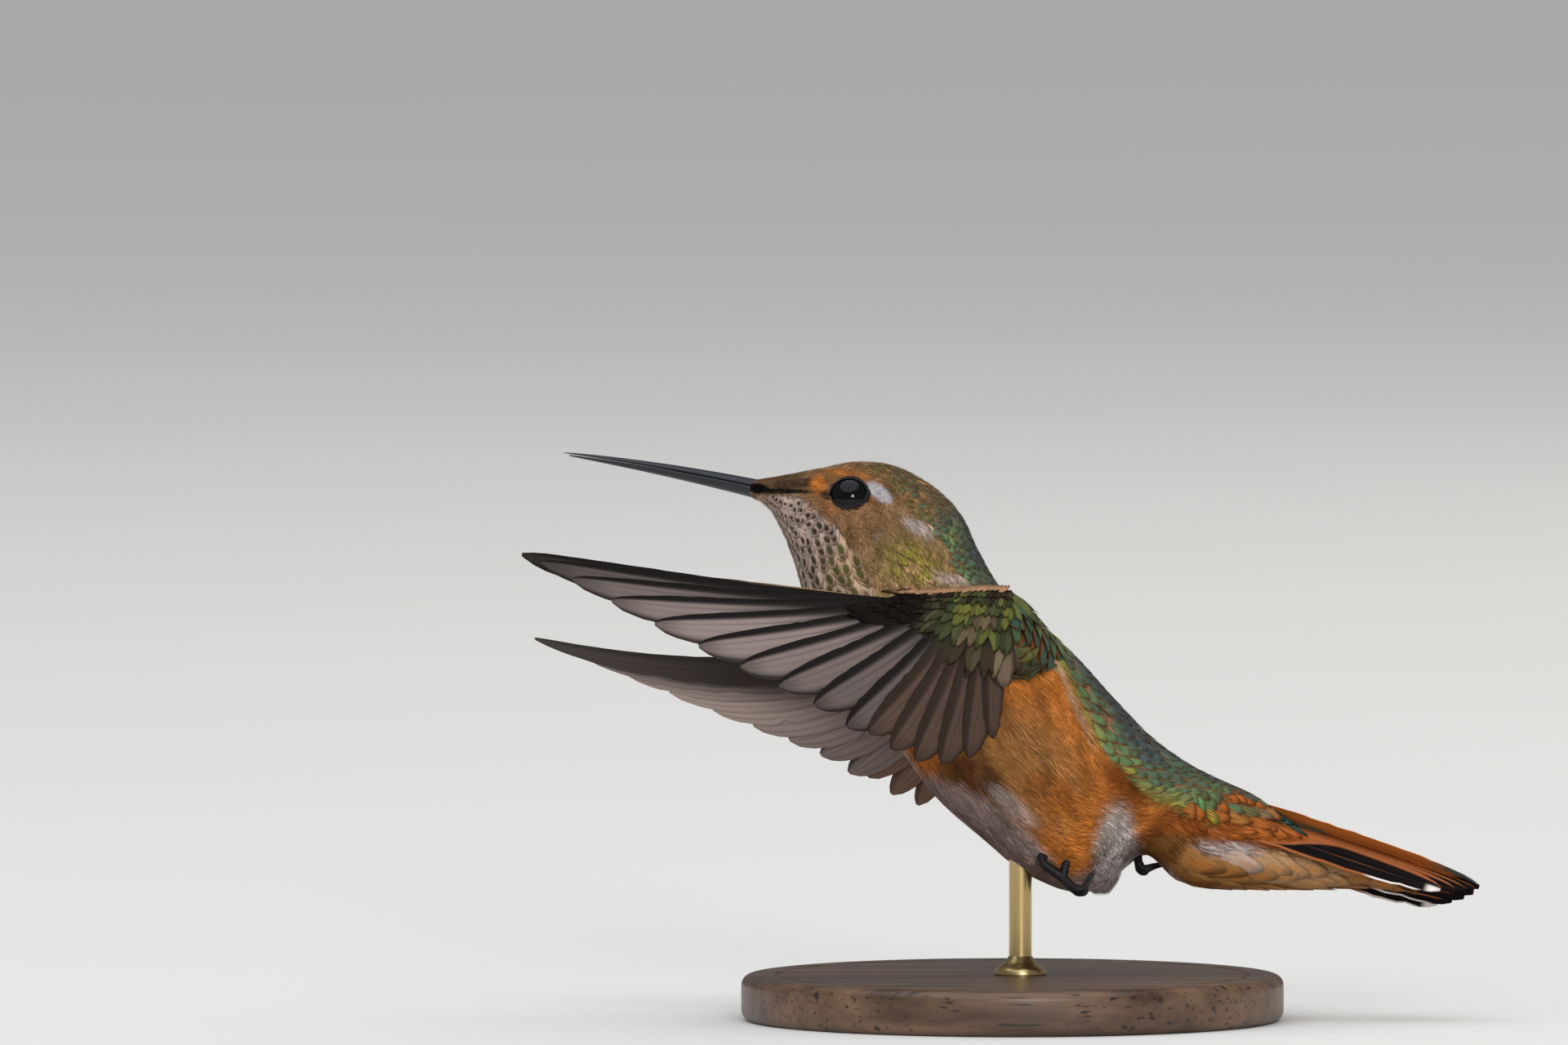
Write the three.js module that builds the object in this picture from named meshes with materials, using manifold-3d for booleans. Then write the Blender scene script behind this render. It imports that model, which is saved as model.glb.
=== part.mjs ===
// A rufous hummingbird at life size, in flight with both wings swept forward and its feet drawn up,
// held over a round base by one short rod. Millimetres, +Z up, origin at the middle of the base's
// underside. The bird faces -X, and its left side is towards -Y.

import * as THREE from 'three';
import { mergeVertices } from 'three/addons/utils/BufferGeometryUtils.js';
import Module from 'manifold-3d';

const wasm = await Module();
wasm.setup();

// ---------------------------------------------------------------- driving dimensions

const DEG = Math.PI / 180;
const SIDES = [['left', -1], ['right', 1]];
const GAP = 0.2;                      // thin cut between neighbouring pieces
const BANK = 12.5 * DEG;              // the bird leans its right side down
const PIVOT = [0, 2.5, 25.2];         // where the bird's own origin stands above the base

const BASE = { radius: 24, thick: 4, bevel: 0.8, sides: 30 };
const ROD = { x: 0.7, radius: 1.0, foot: 2.3, footHeight: 1.2, sides: 16 };

// Stations of the body from bill base to covert tips, in the bird's plane of symmetry: the upper
// and lower outline [x, z], half the width, and how far up the section its widest point lies.
const STATIONS = [
  { top: [-22.7, 22.8], low: [-23.3, 21.0], half: 1.5, rise: 0.0 },     // feathering round the bill
  { top: [-20.0, 23.2], low: [-21.7, 19.9], half: 2.7, rise: -0.1 },    // lores and chin
  { top: [-17.0, 23.8], low: [-20.4, 17.7], half: 4.2, rise: -0.1 },    // forehead
  { top: [-13.8, 24.4], low: [-19.5, 15.4], half: 5.3, rise: 0.0 },     // eyes
  { top: [-10.2, 24.1], low: [-18.8, 13.0], half: 5.9, rise: 0.0 },     // ears
  { top: [-6.8, 22.3], low: [-18.0, 10.4], half: 6.1, rise: 0.05 },     // back of the head
  { top: [-4.3, 19.8], low: [-16.8, 7.5], half: 6.2, rise: 0.1 },       // nape
  { top: [-2.8, 16.6], low: [-15.1, 4.5], half: 6.6, rise: 0.1 },       // neck
  { top: [-0.9, 13.3], low: [-13.0, 1.6], half: 7.3, rise: 0.1 },       // foot of the neck
  { top: [2.3, 10.2], low: [-10.2, -1.5], half: 7.9, rise: 0.1 },       // shoulders
  { top: [5.9, 6.9], low: [-6.8, -5.9], half: 8.2, rise: 0.0 },         // breast
  { top: [9.2, 3.2], low: [-2.9, -9.4], half: 8.1, rise: -0.05 },       // back
  { top: [12.6, -0.3], low: [1.4, -12.8], half: 7.5, rise: -0.1 },      // belly
  { top: [15.7, -2.6], low: [6.2, -14.2], half: 6.6, rise: 0.0 },       // flanks
  { top: [18.7, -4.2], low: [11.2, -10.8], half: 5.7, rise: 0.0 },      // vent
  { top: [21.6, -5.5], low: [14.6, -13.4], half: 4.9, rise: 0.0 },      // rump
  { top: [25.0, -7.9], low: [21.6, -14.1], half: 3.9, rise: 0.0 },      // under tail coverts
  { top: [29.0, -10.6], low: [28.4, -14.1], half: 2.8, rise: 0.0 },
  { top: [32.6, -12.9], low: [32.6, -13.9], half: 1.2, rise: 0.0 },     // tips of the coverts
];
const PARTED = { head: [0, 5.6], neck: [5.6, 8.4], trunk: [8.4, 13.6], rump: [13.6, 18] };
const CUT = 0.035;                    // half a thin cut, in stations
const RINGS_PER_STATION = 2;
const SECTION = { sides: 20, square: 2.15 };

const BILL = {
  base: [-21.2, 21.55], bend: [-30.4, 23.75], tip: [-39.6, 25.05],
  halfHeight: 0.86, halfWidth: 1.15, tipHeight: 0.1, taper: 0.75,
  rings: 8, arc: 5, split: 0.06, overhang: 0.5,
};
const EYE = { centre: [-14.25, 3.85, 20.3], radius: 2.1, rings: 7 };

// A vane along its length: its share of full width at the quill and where it comes full, where its
// round tip starts, and the share of width left at the very end.
const VANE = {
  steps: [0, 0.3, 0.62, 0.83, 0.95, 1],
  fewSteps: [0, 0.35, 0.68, 0.9, 1],
  quill: 0.45, full: 0.35, round: 0.62, end: 0.12,
};

// One wing, in its own plane: a runs from the wrist to the tip, b from the leading edge back.
const WING = {
  shoulder: [0.9, 3.6, 5.9],          // y is outward from the plane of symmetry
  climb: 1.2 * DEG,
  span: 41, chord: 15, camber: 0.9,
  thick: 0.5, layer: 0.06,
};
// How each wing is held: where its wrist is, its slant away from the body, the turn of its trailing
// edge in towards the body at wrist and tip, the leading edge's slope down from the wrist, its bend
// out and up at the tip, and how far its feathers are fanned.
const HELD = {
  left: {
    wrist: [-2.9, 11.2, 10.6], sweep: 6 * DEG, twist: [15 * DEG, 15 * DEG],
    slope: 0.064, out: 5.7, up: 3.6, fan: 1,
  },
  right: {
    wrist: [-2.9, 12.6, 13.0], sweep: 12 * DEG, twist: [20 * DEG, 62 * DEG],
    slope: 0.36, out: 1.5, up: 13.4, fan: 0.88,
  },
};
const PRIMARIES = {
  count: 10, rootFrom: [6.6, 1.1], rootTo: [0.6, 1.2],
  angleFrom: -1.9 * DEG, angleTo: 47 * DEG, angleCurve: 1.85,
  longest: 33.8, shortest: 16.8, lengthCurve: 0.85,
  lead: [1.1, 1.5], trail: [2.3, 2.5], sag: [0.0, 0.04],
};
const SECONDARIES = {
  count: 6, rootFrom: [0.4, 1.0], rootTo: [-0.9, 2.6],
  angleFrom: 53.5 * DEG, angleTo: 89.5 * DEG,
  longest: 16.2, shortest: 12.0, lengthCurve: 3, lead: 1.6, trail: 2.2, sag: 0.06,
};
const PARTING = { route: [[-3, -2], [1, 1], [6, 6.1], [11.5, 12.2], [14, 15.2]], high: 4 };
const TERTIAL = { root: [-1.2, 2.6], angle: 94 * DEG, length: 7.4, lead: 1.5, trail: 1.3 };
const ARM = [                         // along, back, half the width, half the thickness
  { at: [-1.2, 2.7], broad: 3.3, deep: 1.9 },
  { at: [2.6, 2.0], broad: 2.3, deep: 1.0 },
  { at: [6.4, 1.2], broad: 1.2, deep: 0.7 },
];
const ARM_ROOT = { broad: 4.3, deep: 4.8 };
const ARM_STEPS = 6;
const ARM_SIDES = 8;

// The folded tail: five feathers a side, laid like a roof from the ridge down and outward.
const TAIL = {
  base: [15.6, -5.0], slope: 18.9 * DEG, count: 5,
  longest: 27.0, shortest: 24.0, lengthCurve: 1.6,
  spread: [0, 4.5 * DEG], drop: [0, 0.6 * DEG], step: [0.5, 0.42], offset: 0.2,
  roll: [22 * DEG, 42 * DEG], inner: 1.9, outer: 1.9, thick: 0.5,
};

// Each leg: a puff of thigh feathers, a shank along the belly and four closed toes with claws.
const LEGS = {
  left: { puff: [7.5, 3.0, -10.2], shank: [2.5, 4.6, -12.0], foot: [4.4, 4.6, -13.7], aim: -50 * DEG },
  right: { puff: [7.5, 3.0, -10.2], shank: [10.4, 2.6, -9.4], foot: [11.1, 2.2, -9.9], aim: -94 * DEG },
};
// The puff swells from near nothing at its ends, which lie at these shares of a half turn.
const PUFF = { long: 4.1, half: 2.6, tilt: 6 * DEG, ends: [0.06, 0.96], plump: 0.7, steps: 8, sides: 12 };
const SHANK = { radius: 0.45, steps: 5 };
const TOE = {
  front: 3, fan: 26 * DEG, behind: 132 * DEG,
  length: 2.6, reach: 109 * DEG, slack: 1.2, curl: 0.9, knots: [0, 0.45, 0.85, 1],
  radius: 0.42, clawRadius: 0.26, rings: 4, sides: 5,
};

// ---------------------------------------------------------------- materials

const FINISHES = {
  bronze: { color: 0x6f7042, roughness: 0.55, metalness: 0.15 },
  rufous: { color: 0xb0602c, roughness: 0.7, metalness: 0.0 },
  flight: { color: 0x4a423f, roughness: 0.6, metalness: 0.0 },
  tail: { color: 0x9a4d22, roughness: 0.6, metalness: 0.0 },
  bill: { color: 0x1c1c20, roughness: 0.35, metalness: 0.0 },
  eye: { color: 0x0b0b0e, roughness: 0.05, metalness: 0.0 },
  down: { color: 0xcfc6bd, roughness: 0.85, metalness: 0.0 },
  foot: { color: 0x17151a, roughness: 0.6, metalness: 0.0 },
  wood: { color: 0x3a2a20, roughness: 0.45, metalness: 0.0 },
  brass: { color: 0xb08d57, roughness: 0.3, metalness: 1.0 },
};

const PLUMAGE = { head: 'bronze', neck: 'bronze', trunk: 'rufous', rump: 'rufous' };

function meshOf(name, geometry, finish) {
  const mesh = new THREE.Mesh(geometry, new THREE.MeshStandardMaterial(FINISHES[finish]));
  mesh.name = name;
  return mesh;
}

// ---------------------------------------------------------------- solids

// A closed skin over rings of equal point counts, its two ends closed by fans.
function skinOf(rings) {
  const sides = rings[0].length;
  const points = rings.flat();
  const faces = [];
  for (let i = 0; i + 1 < rings.length; i += 1) {
    for (let j = 0; j < sides; j += 1) {
      const a = i * sides + j;
      const b = i * sides + (j + 1) % sides;
      faces.push(a, b, b + sides, a, b + sides, a + sides);
    }
  }
  for (const [ring, turn] of [[0, 1], [rings.length - 1, -1]]) {
    const middle = points.length;
    const centre = new THREE.Vector3();
    rings[ring].forEach((point) => centre.addScaledVector(point, 1 / sides));
    points.push(centre);
    for (let j = 0; j < sides; j += 1) {
      const pair = [ring * sides + (j + 1) % sides, ring * sides + j];
      faces.push(...(turn > 0 ? pair : pair.reverse()), middle);
    }
  }
  return facingOut(points, faces);
}

// Turns every face over when the skin encloses a negative volume.
function facingOut(points, faces) {
  let volume = 0;
  for (let i = 0; i < faces.length; i += 3) {
    const [a, b, c] = [points[faces[i]], points[faces[i + 1]], points[faces[i + 2]]];
    volume += a.dot(b.clone().cross(c));
  }
  const geometry = new THREE.BufferGeometry().setFromPoints(points);
  geometry.setIndex(volume > 0 ? faces : faces.reverse());
  return geometry;
}

function toSolid(geometry) {
  const bare = geometry.clone();
  bare.deleteAttribute('normal');
  bare.deleteAttribute('uv');
  const merged = mergeVertices(bare);
  return new wasm.Manifold(new wasm.Mesh({
    numProp: 3,
    vertProperties: new Float32Array(merged.attributes.position.array),
    triVerts: new Uint32Array(merged.index.array),
  }));
}

function toGeometry(solid) {
  const { vertProperties, triVerts } = solid.getMesh();
  const geometry = new THREE.BufferGeometry();
  geometry.setAttribute('position', new THREE.BufferAttribute(vertProperties, 3));
  geometry.setIndex(new THREE.BufferAttribute(triVerts, 1));
  return geometry;
}

const joined = (solids) => solids.reduce((sum, solid) => sum.add(solid));

// The largest of the separate bodies that a cut leaves.
function mainBody(solid) {
  const parts = solid.decompose();
  return parts.reduce((best, part) => (part.volume() > best.volume() ? part : best));
}

const mix = (pair, t) => pair[0] + (pair[1] - pair[0]) * t;

const onSide = ([x, y, z], side) => new THREE.Vector3(x, side * y, z);

function smooth(t) {
  const s = Math.min(Math.max(t, 0), 1);
  return s * s * (3 - 2 * s);
}

// ---------------------------------------------------------------- head, neck, trunk and rump

const topLine = new THREE.CatmullRomCurve3(
  STATIONS.map(({ top, half }) => new THREE.Vector3(top[0], half, top[1])));
const lowLine = new THREE.CatmullRomCurve3(
  STATIONS.map(({ low, rise }) => new THREE.Vector3(low[0], rise, low[1])));

// One section of the body, at a place counted in stations; grow makes it larger all round.
function bodyRing(station, grow = 0) {
  const place = station / (STATIONS.length - 1);
  const top = topLine.getPoint(place);
  const low = lowLine.getPoint(place);
  const half = top.y + grow;
  const rise = low.y;
  top.y = 0;
  low.y = 0;
  const centre = top.clone().lerp(low, 0.5);
  const reach = top.sub(centre);
  reach.setLength(reach.length() + grow);
  const power = 2 / SECTION.square;
  return Array.from({ length: SECTION.sides }, (_, j) => {
    const angle = 2 * Math.PI * j / SECTION.sides;
    const up = Math.sign(Math.cos(angle)) * Math.abs(Math.cos(angle)) ** power;
    const out = Math.sign(Math.sin(angle)) * Math.abs(Math.sin(angle)) ** power;
    const point = centre.clone().addScaledVector(reach, up + rise * (1 - up * up));
    point.y = half * out;
    return point;
  });
}

function bodyLength(from, to, grow = 0) {
  const steps = Math.round((to - from) * RINGS_PER_STATION);
  return skinOf(Array.from({ length: steps + 1 }, (_, i) => bodyRing(mix([from, to], i / steps), grow)));
}

// The lengths that the body is parted into, with thin cuts between them.
const lengths = Object.entries(PARTED).map(([name, [from, to]]) => {
  const start = from === 0 ? from : from + CUT;
  const end = to === STATIONS.length - 1 ? to : to - CUT;
  return { name, start, end };
});

// The whole body a thin gap larger, which everything that meets it is cut by.
const wholeBody = joined([
  toSolid(bodyLength(0, STATIONS.length - 1, GAP)),
  ...lengths.map(({ start, end }) => toSolid(bodyLength(start, end, GAP))),
]);

function bodyParts() {
  const sockets = SIDES.map(([, side]) => toSolid(eyeball(side, EYE.radius + GAP)));
  return lengths.map(({ name, start, end }) => {
    const flesh = bodyLength(start, end);
    const hollowed = sockets.reduce((head, socket) => head.subtract(socket), toSolid(flesh));
    return meshOf(name, toGeometry(hollowed), PLUMAGE[name]);
  });
}

// ---------------------------------------------------------------- eyes and bill

function eyeball(side, radius) {
  const geometry = new THREE.SphereGeometry(radius, 2 * EYE.rings, EYE.rings);
  const [x, y, z] = EYE.centre;
  return geometry.rotateX(Math.PI / 2).translate(x, side * y, z);
}

// Half of the bill, above (+1) or below (-1) the line where it parts.
function mandible(way) {
  const line = new THREE.QuadraticBezierCurve3(
    ...[BILL.base, BILL.bend, BILL.tip].map(([x, z]) => new THREE.Vector3(x, 0, z)));
  const reach = way > 0 ? 1 : 1 - BILL.overhang / line.getLength();
  const rings = Array.from({ length: BILL.rings + 1 }, (_, i) => {
    const t = reach * i / BILL.rings;
    const centre = line.getPoint(t);
    const along = line.getTangent(t);
    const up = new THREE.Vector3(along.z, 0, -along.x);
    const taper = (1 - t) ** BILL.taper;
    const height = BILL.tipHeight + (BILL.halfHeight - BILL.tipHeight) * taper;
    const width = height * mix([BILL.halfWidth / BILL.halfHeight, 1], t);
    return Array.from({ length: BILL.arc + 1 }, (_unused, j) => {
      const angle = Math.PI * j / BILL.arc;
      const rise = way * (BILL.split + (height - BILL.split) * Math.sin(angle));
      const point = centre.clone().addScaledVector(up, rise);
      point.y = width * Math.cos(angle);
      return point;
    });
  });
  return mainBody(toSolid(skinOf(rings)).subtract(wholeBody));
}

function faceParts() {
  const eyes = SIDES.map(([name, side]) => meshOf(`eye_${name}`, eyeball(side, EYE.radius), 'eye'));
  return [
    ...eyes,
    meshOf('bill_upper', toGeometry(mandible(1)), 'bill'),
    meshOf('bill_lower', toGeometry(mandible(-1)), 'bill'),
  ];
}

// ---------------------------------------------------------------- feathers

// The share of a vane's full width at s along it: narrow at the quill, full past the middle, round
// at the tip.
function vaneShape(s) {
  const quill = mix([VANE.quill, 1], smooth(s / VANE.full));
  const past = Math.max((s - VANE.round) / (1 - VANE.round), 0);
  const tip = Math.sqrt(Math.max(1 - past ** 2, 0));
  return quill * Math.max(tip, VANE.end);
}

// A flat feather as a closed strip. place(s, across, lift) puts a point of it in space.
function feather(place, lead, trail, thick, steps) {
  return toSolid(skinOf(steps.map((s) => {
    const shape = vaneShape(s);
    const corners = [[-lead, 1], [trail, 1], [trail, -1], [-lead, -1]];
    return corners.map(([across, lift]) => place(s, across * shape, lift * thick / 2));
  })));
}

// ---------------------------------------------------------------- wings

const holdOf = (side) => (side < 0 ? HELD.left : HELD.right);

// Puts a point of the wing's plane in space: a along the wing, b back from its leading edge, c up
// from its upper side, which faces away from the body.
function wingPoint(side, a, b, c) {
  const { wrist, sweep, twist, slope, out, up } = holdOf(side);
  const reach = Math.max(a, 0);
  const bend = (reach / WING.span) ** 2;
  const along = new THREE.Vector3(-Math.cos(sweep), Math.sin(sweep), Math.sin(WING.climb)).normalize();
  const down = new THREE.Vector3(0, 0, -1).addScaledVector(along, along.z).normalize();
  const back = down.applyAxisAngle(along, -mix(twist, reach / WING.span));
  const outer = new THREE.Vector3().crossVectors(back, along);
  const arch = WING.camber * (1 - (2 * b / WING.chord - 1) ** 2);
  const point = new THREE.Vector3(0, out * bend, up * bend - slope * reach)
    .add(new THREE.Vector3(...wrist))
    .addScaledVector(along, a)
    .addScaledVector(back, b)
    .addScaledVector(outer, c + arch);
  point.y *= side;
  return point;
}

// A wing feather from its root, at an angle back from the leading edge, curving forward at the tip.
function wingFeather(side, spec) {
  const { root, angle, length, lead, trail, sag, layer, steps } = spec;
  const [cos, sin] = [Math.cos(angle), Math.sin(angle)];
  const place = (s, across, lift) => {
    const run = s * length;
    const off = across + 4 * sag * length * s * (1 - s);
    const a = root[0] + run * cos - off * sin;
    const b = root[1] + run * sin + off * cos;
    return wingPoint(side, a, b, lift + layer * WING.layer);
  };
  return feather(place, lead, trail, WING.thick, steps);
}

function primaries(side) {
  return Array.from({ length: PRIMARIES.count }, (_, i) => {
    const t = i / (PRIMARIES.count - 1);
    const fall = (1 + Math.cos(Math.PI * t ** PRIMARIES.lengthCurve)) / 2;
    return wingFeather(side, {
      root: [0, 1].map((k) => mix([PRIMARIES.rootFrom[k], PRIMARIES.rootTo[k]], t)),
      angle: mix([PRIMARIES.angleFrom, PRIMARIES.angleTo * holdOf(side).fan], t ** PRIMARIES.angleCurve),
      length: mix([PRIMARIES.shortest, PRIMARIES.longest], fall),
      lead: mix(PRIMARIES.lead, t),
      trail: mix(PRIMARIES.trail, t),
      sag: mix(PRIMARIES.sag, t),
      layer: i,
      steps: VANE.steps,
    });
  });
}

function secondaries(side) {
  const flight = Array.from({ length: SECONDARIES.count }, (_, i) => {
    const t = i / (SECONDARIES.count - 1);
    return wingFeather(side, {
      root: [0, 1].map((k) => mix([SECONDARIES.rootFrom[k], SECONDARIES.rootTo[k]], t)),
      angle: mix([SECONDARIES.angleFrom * holdOf(side).fan, SECONDARIES.angleTo], t),
      length: mix([SECONDARIES.longest, SECONDARIES.shortest], t ** SECONDARIES.lengthCurve),
      lead: SECONDARIES.lead,
      trail: SECONDARIES.trail,
      sag: SECONDARIES.sag * (1 - t),
      layer: PRIMARIES.count + i,
      steps: VANE.fewSteps,
    });
  });
  const layer = PRIMARIES.count + SECONDARIES.count;
  return [...flight, wingFeather(side, { ...TERTIAL, sag: 0, layer, steps: VANE.fewSteps })];
}

// The arm and hand under their coverts, from inside the shoulder to the end of the hand.
function arm(side, grow = 0) {
  const shoulder = onSide(WING.shoulder, side);
  const knots = ARM.map(({ at }) => wingPoint(side, ...at, 0));
  const line = new THREE.CatmullRomCurve3([shoulder, ...knots]);
  const sizes = new THREE.CatmullRomCurve3(
    [ARM_ROOT, ...ARM].map(({ broad, deep }) => new THREE.Vector3(broad, deep, 0)));
  const back = wingPoint(side, 0, WING.chord, 0).sub(wingPoint(side, 0, 0, 0)).normalize();
  return toSolid(skinOf(Array.from({ length: ARM_STEPS + 1 }, (_, i) => {
    const t = i / ARM_STEPS;
    const [centre, along, size] = [line.getPoint(t), line.getTangent(t), sizes.getPoint(t)];
    const outer = back.clone().cross(along).normalize();
    const wide = along.cross(outer).normalize();
    return Array.from({ length: ARM_SIDES }, (_unused, j) => {
      const angle = 2 * Math.PI * j / ARM_SIDES;
      return centre.clone()
        .addScaledVector(wide, (size.x + grow) * Math.cos(angle))
        .addScaledVector(outer, (size.y + grow) * Math.sin(angle));
    });
  })));
}

// A thin curved slab between the innermost primary and the outermost secondary.
function wristCut(side) {
  const ring = ([a, b]) => [[-1, 1], [1, 1], [1, -1], [-1, -1]].map(([across, lift]) => wingPoint(
    side, a + across * GAP / 2, b - across * GAP / 2, lift * PARTING.high));
  return toSolid(skinOf(PARTING.route.map(ring)));
}

function wingParts(name, side) {
  const feathers = joined([...primaries(side), ...secondaries(side)]);
  const vane = feathers.subtract(arm(side, GAP)).subtract(wholeBody).subtract(wristCut(side));
  const halves = vane.decompose().sort((one, other) => other.volume() - one.volume());
  return [
    meshOf(`wing_${name}_arm`, toGeometry(mainBody(arm(side).subtract(wholeBody))), 'bronze'),
    meshOf(`wing_${name}_primaries`, toGeometry(halves[0]), 'flight'),
    meshOf(`wing_${name}_secondaries`, toGeometry(halves[1]), 'flight'),
  ];
}

// ---------------------------------------------------------------- tail

function tailPoint(along, outward, up) {
  const [cos, sin] = [Math.cos(TAIL.slope), Math.sin(TAIL.slope)];
  return new THREE.Vector3(
    TAIL.base[0] + along * cos + up * sin,
    outward,
    TAIL.base[1] - along * sin + up * cos);
}

// One tail feather, counted from the ridge outward.
function tailFeather(side, number, grow = 0) {
  const t = number / (TAIL.count - 1);
  const length = mix([TAIL.longest, TAIL.shortest], t ** TAIL.lengthCurve);
  const [yaw, drop, roll] = [TAIL.spread, TAIL.drop, TAIL.roll].map((pair) => mix(pair, t));
  const root = [TAIL.step[0] * (number + TAIL.offset), -TAIL.step[1] * number];
  const place = (s, across, lift) => {
    const run = s * length;
    const out = run * Math.sin(yaw) + across * Math.cos(roll) + lift * Math.sin(roll);
    const up = lift * Math.cos(roll) - across * Math.sin(roll) - run * Math.sin(drop);
    return tailPoint(run * Math.cos(yaw), side * (root[0] + out), root[1] + up);
  };
  const [inner, outer, thick] = [TAIL.inner + grow, TAIL.outer + grow, TAIL.thick + 2 * grow];
  return feather(place, inner, outer, thick, VANE.fewSteps);
}

function tailParts() {
  const central = joined(SIDES.map(([, side]) => tailFeather(side, 0)));
  const clear = joined(SIDES.map(([, side]) => tailFeather(side, 0, GAP)));
  const middle = toSolid(new THREE.BoxGeometry(2 * TAIL.longest, 2 * GAP, 2 * TAIL.longest)
    .translate(TAIL.base[0] + TAIL.longest, 0, TAIL.base[1]));
  const halves = SIDES.map(([name, side]) => {
    const fan = joined(Array.from({ length: TAIL.count - 1 }, (_, k) => tailFeather(side, k + 1)));
    const half = mainBody(fan.subtract(clear).subtract(middle).subtract(wholeBody));
    return meshOf(`tail_${name}`, toGeometry(half), 'tail');
  });
  return [meshOf('tail_central', toGeometry(mainBody(central.subtract(wholeBody))), 'tail'), ...halves];
}

// ---------------------------------------------------------------- legs and feet

function tube(points, radii, sides) {
  const line = new THREE.CatmullRomCurve3(points);
  const steps = radii.length - 1;
  return skinOf(radii.map((radius, i) => {
    const t = i / steps;
    const along = line.getTangent(t);
    const across = new THREE.Vector3(0, 1, 0).cross(along).normalize();
    const other = along.clone().cross(across).normalize();
    return Array.from({ length: sides }, (_, j) => {
      const angle = 2 * Math.PI * j / sides;
      return line.getPoint(t)
        .addScaledVector(across, radius * Math.cos(angle))
        .addScaledVector(other, radius * Math.sin(angle));
    });
  }));
}

// The thigh's puff of feathers with the shank that runs on from it to the foot.
function leg(name, side) {
  const { puff, shank, foot } = LEGS[name];
  const centre = onSide(puff, side);
  const lean = new THREE.Vector3(Math.sin(PUFF.tilt), 0, -Math.cos(PUFF.tilt));
  const ends = [-PUFF.long, 0, PUFF.long].map((run) => centre.clone().addScaledVector(lean, run));
  const radii = Array.from({ length: PUFF.steps + 1 }, (_, i) => {
    const t = mix(PUFF.ends, i / PUFF.steps);
    return PUFF.half * Math.sin(Math.PI * t) ** PUFF.plump;
  });
  const tuft = toSolid(tube(ends, radii, PUFF.sides));
  const route = [centre, onSide(shank, side), onSide(foot, side)];
  const bone = toSolid(tube(route, Array(SHANK.steps + 1).fill(SHANK.radius), TOE.sides));
  return tuft.add(bone);
}

// Four toes closed round nothing: three forward and one behind, each ending in a claw.
function footSolid(name, side, grow = 0) {
  const { foot, aim } = LEGS[name];
  const ankle = onSide(foot, side);
  const toes = Array.from({ length: TOE.front + 1 }, (_, k) => {
    const behind = k === TOE.front;
    const turn = behind ? 0 : (k - (TOE.front - 1) / 2) * TOE.fan;
    const heading = behind ? aim + TOE.behind : aim;
    const [cos, sin] = [Math.cos(heading), Math.sin(heading)];
    const out = new THREE.Vector3(cos * Math.cos(turn), Math.sin(turn), sin * Math.cos(turn));
    const hook = new THREE.Vector3(-sin, 0, cos).multiplyScalar(behind ? -1 : 1);
    const knots = TOE.knots.map((s) => ankle.clone()
      .addScaledVector(out, TOE.length * Math.sin(s * TOE.reach) / TOE.slack)
      .addScaledVector(hook, TOE.curl * s * s));
    const radii = Array.from({ length: TOE.rings + 1 }, (_unused, i) => (
      grow + mix([TOE.radius, TOE.clawRadius], (i / TOE.rings) ** 2)));
    return toSolid(tube(knots, radii, TOE.sides));
  });
  return joined(toes);
}

function legParts(name, side) {
  const foot = footSolid(name, side);
  const limb = mainBody(leg(name, side).subtract(wholeBody).subtract(footSolid(name, side, GAP)));
  return [
    meshOf(`leg_${name}`, toGeometry(limb), 'down'),
    meshOf(`foot_${name}`, toGeometry(mainBody(foot.subtract(wholeBody))), 'foot'),
  ];
}

// ---------------------------------------------------------------- the bird on its stand

const bird = new THREE.Group();
bird.add(...bodyParts(), ...faceParts(), ...tailParts());
for (const [name, side] of SIDES) bird.add(...wingParts(name, side), ...legParts(name, side));
bird.position.set(...PIVOT);
bird.rotation.x = -BANK;
bird.updateMatrixWorld(true);

function standParts() {
  const { radius, thick, bevel, sides } = BASE;
  const profile = [
    [0, 0], [radius - bevel, 0], [radius, bevel],
    [radius, thick - bevel], [radius - bevel, thick], [0, thick],
  ];
  const disc = new THREE.LatheGeometry(profile.map(([r, z]) => new THREE.Vector2(r, z)), sides);
  const start = thick + GAP;
  const rodLine = [[0, start], [ROD.foot, start], [ROD.foot, start + ROD.footHeight / 2],
    [ROD.radius, start + ROD.footHeight], [ROD.radius, PIVOT[2]], [0, PIVOT[2]]];
  const rod = new THREE.LatheGeometry(rodLine.map(([r, z]) => new THREE.Vector2(r, z)), ROD.sides);
  const upright = toSolid(rod.rotateX(Math.PI / 2).translate(ROD.x, 0, 0));
  const body = wholeBody.transform(bird.matrixWorld.elements);
  return [
    meshOf('stand_base', disc.rotateX(Math.PI / 2), 'wood'),
    meshOf('stand_rod', toGeometry(mainBody(upright.subtract(body))), 'brass'),
  ];
}

const part = new THREE.Group();
part.add(bird, ...standParts());

export default part;
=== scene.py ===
# A life-size rufous hummingbird in flight over a small stand: skin, coat, wing and tail feathers, bill,
# eyes and feet. Shapes are worked out in the bird's own frame in millimetres (it faces -X, its left is
# -Y, up is +Z) and then set on the stand in metres, leaning to its right.

import math

import bpy
import numpy as np
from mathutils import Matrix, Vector
from mathutils.bvhtree import BVHTree


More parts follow.
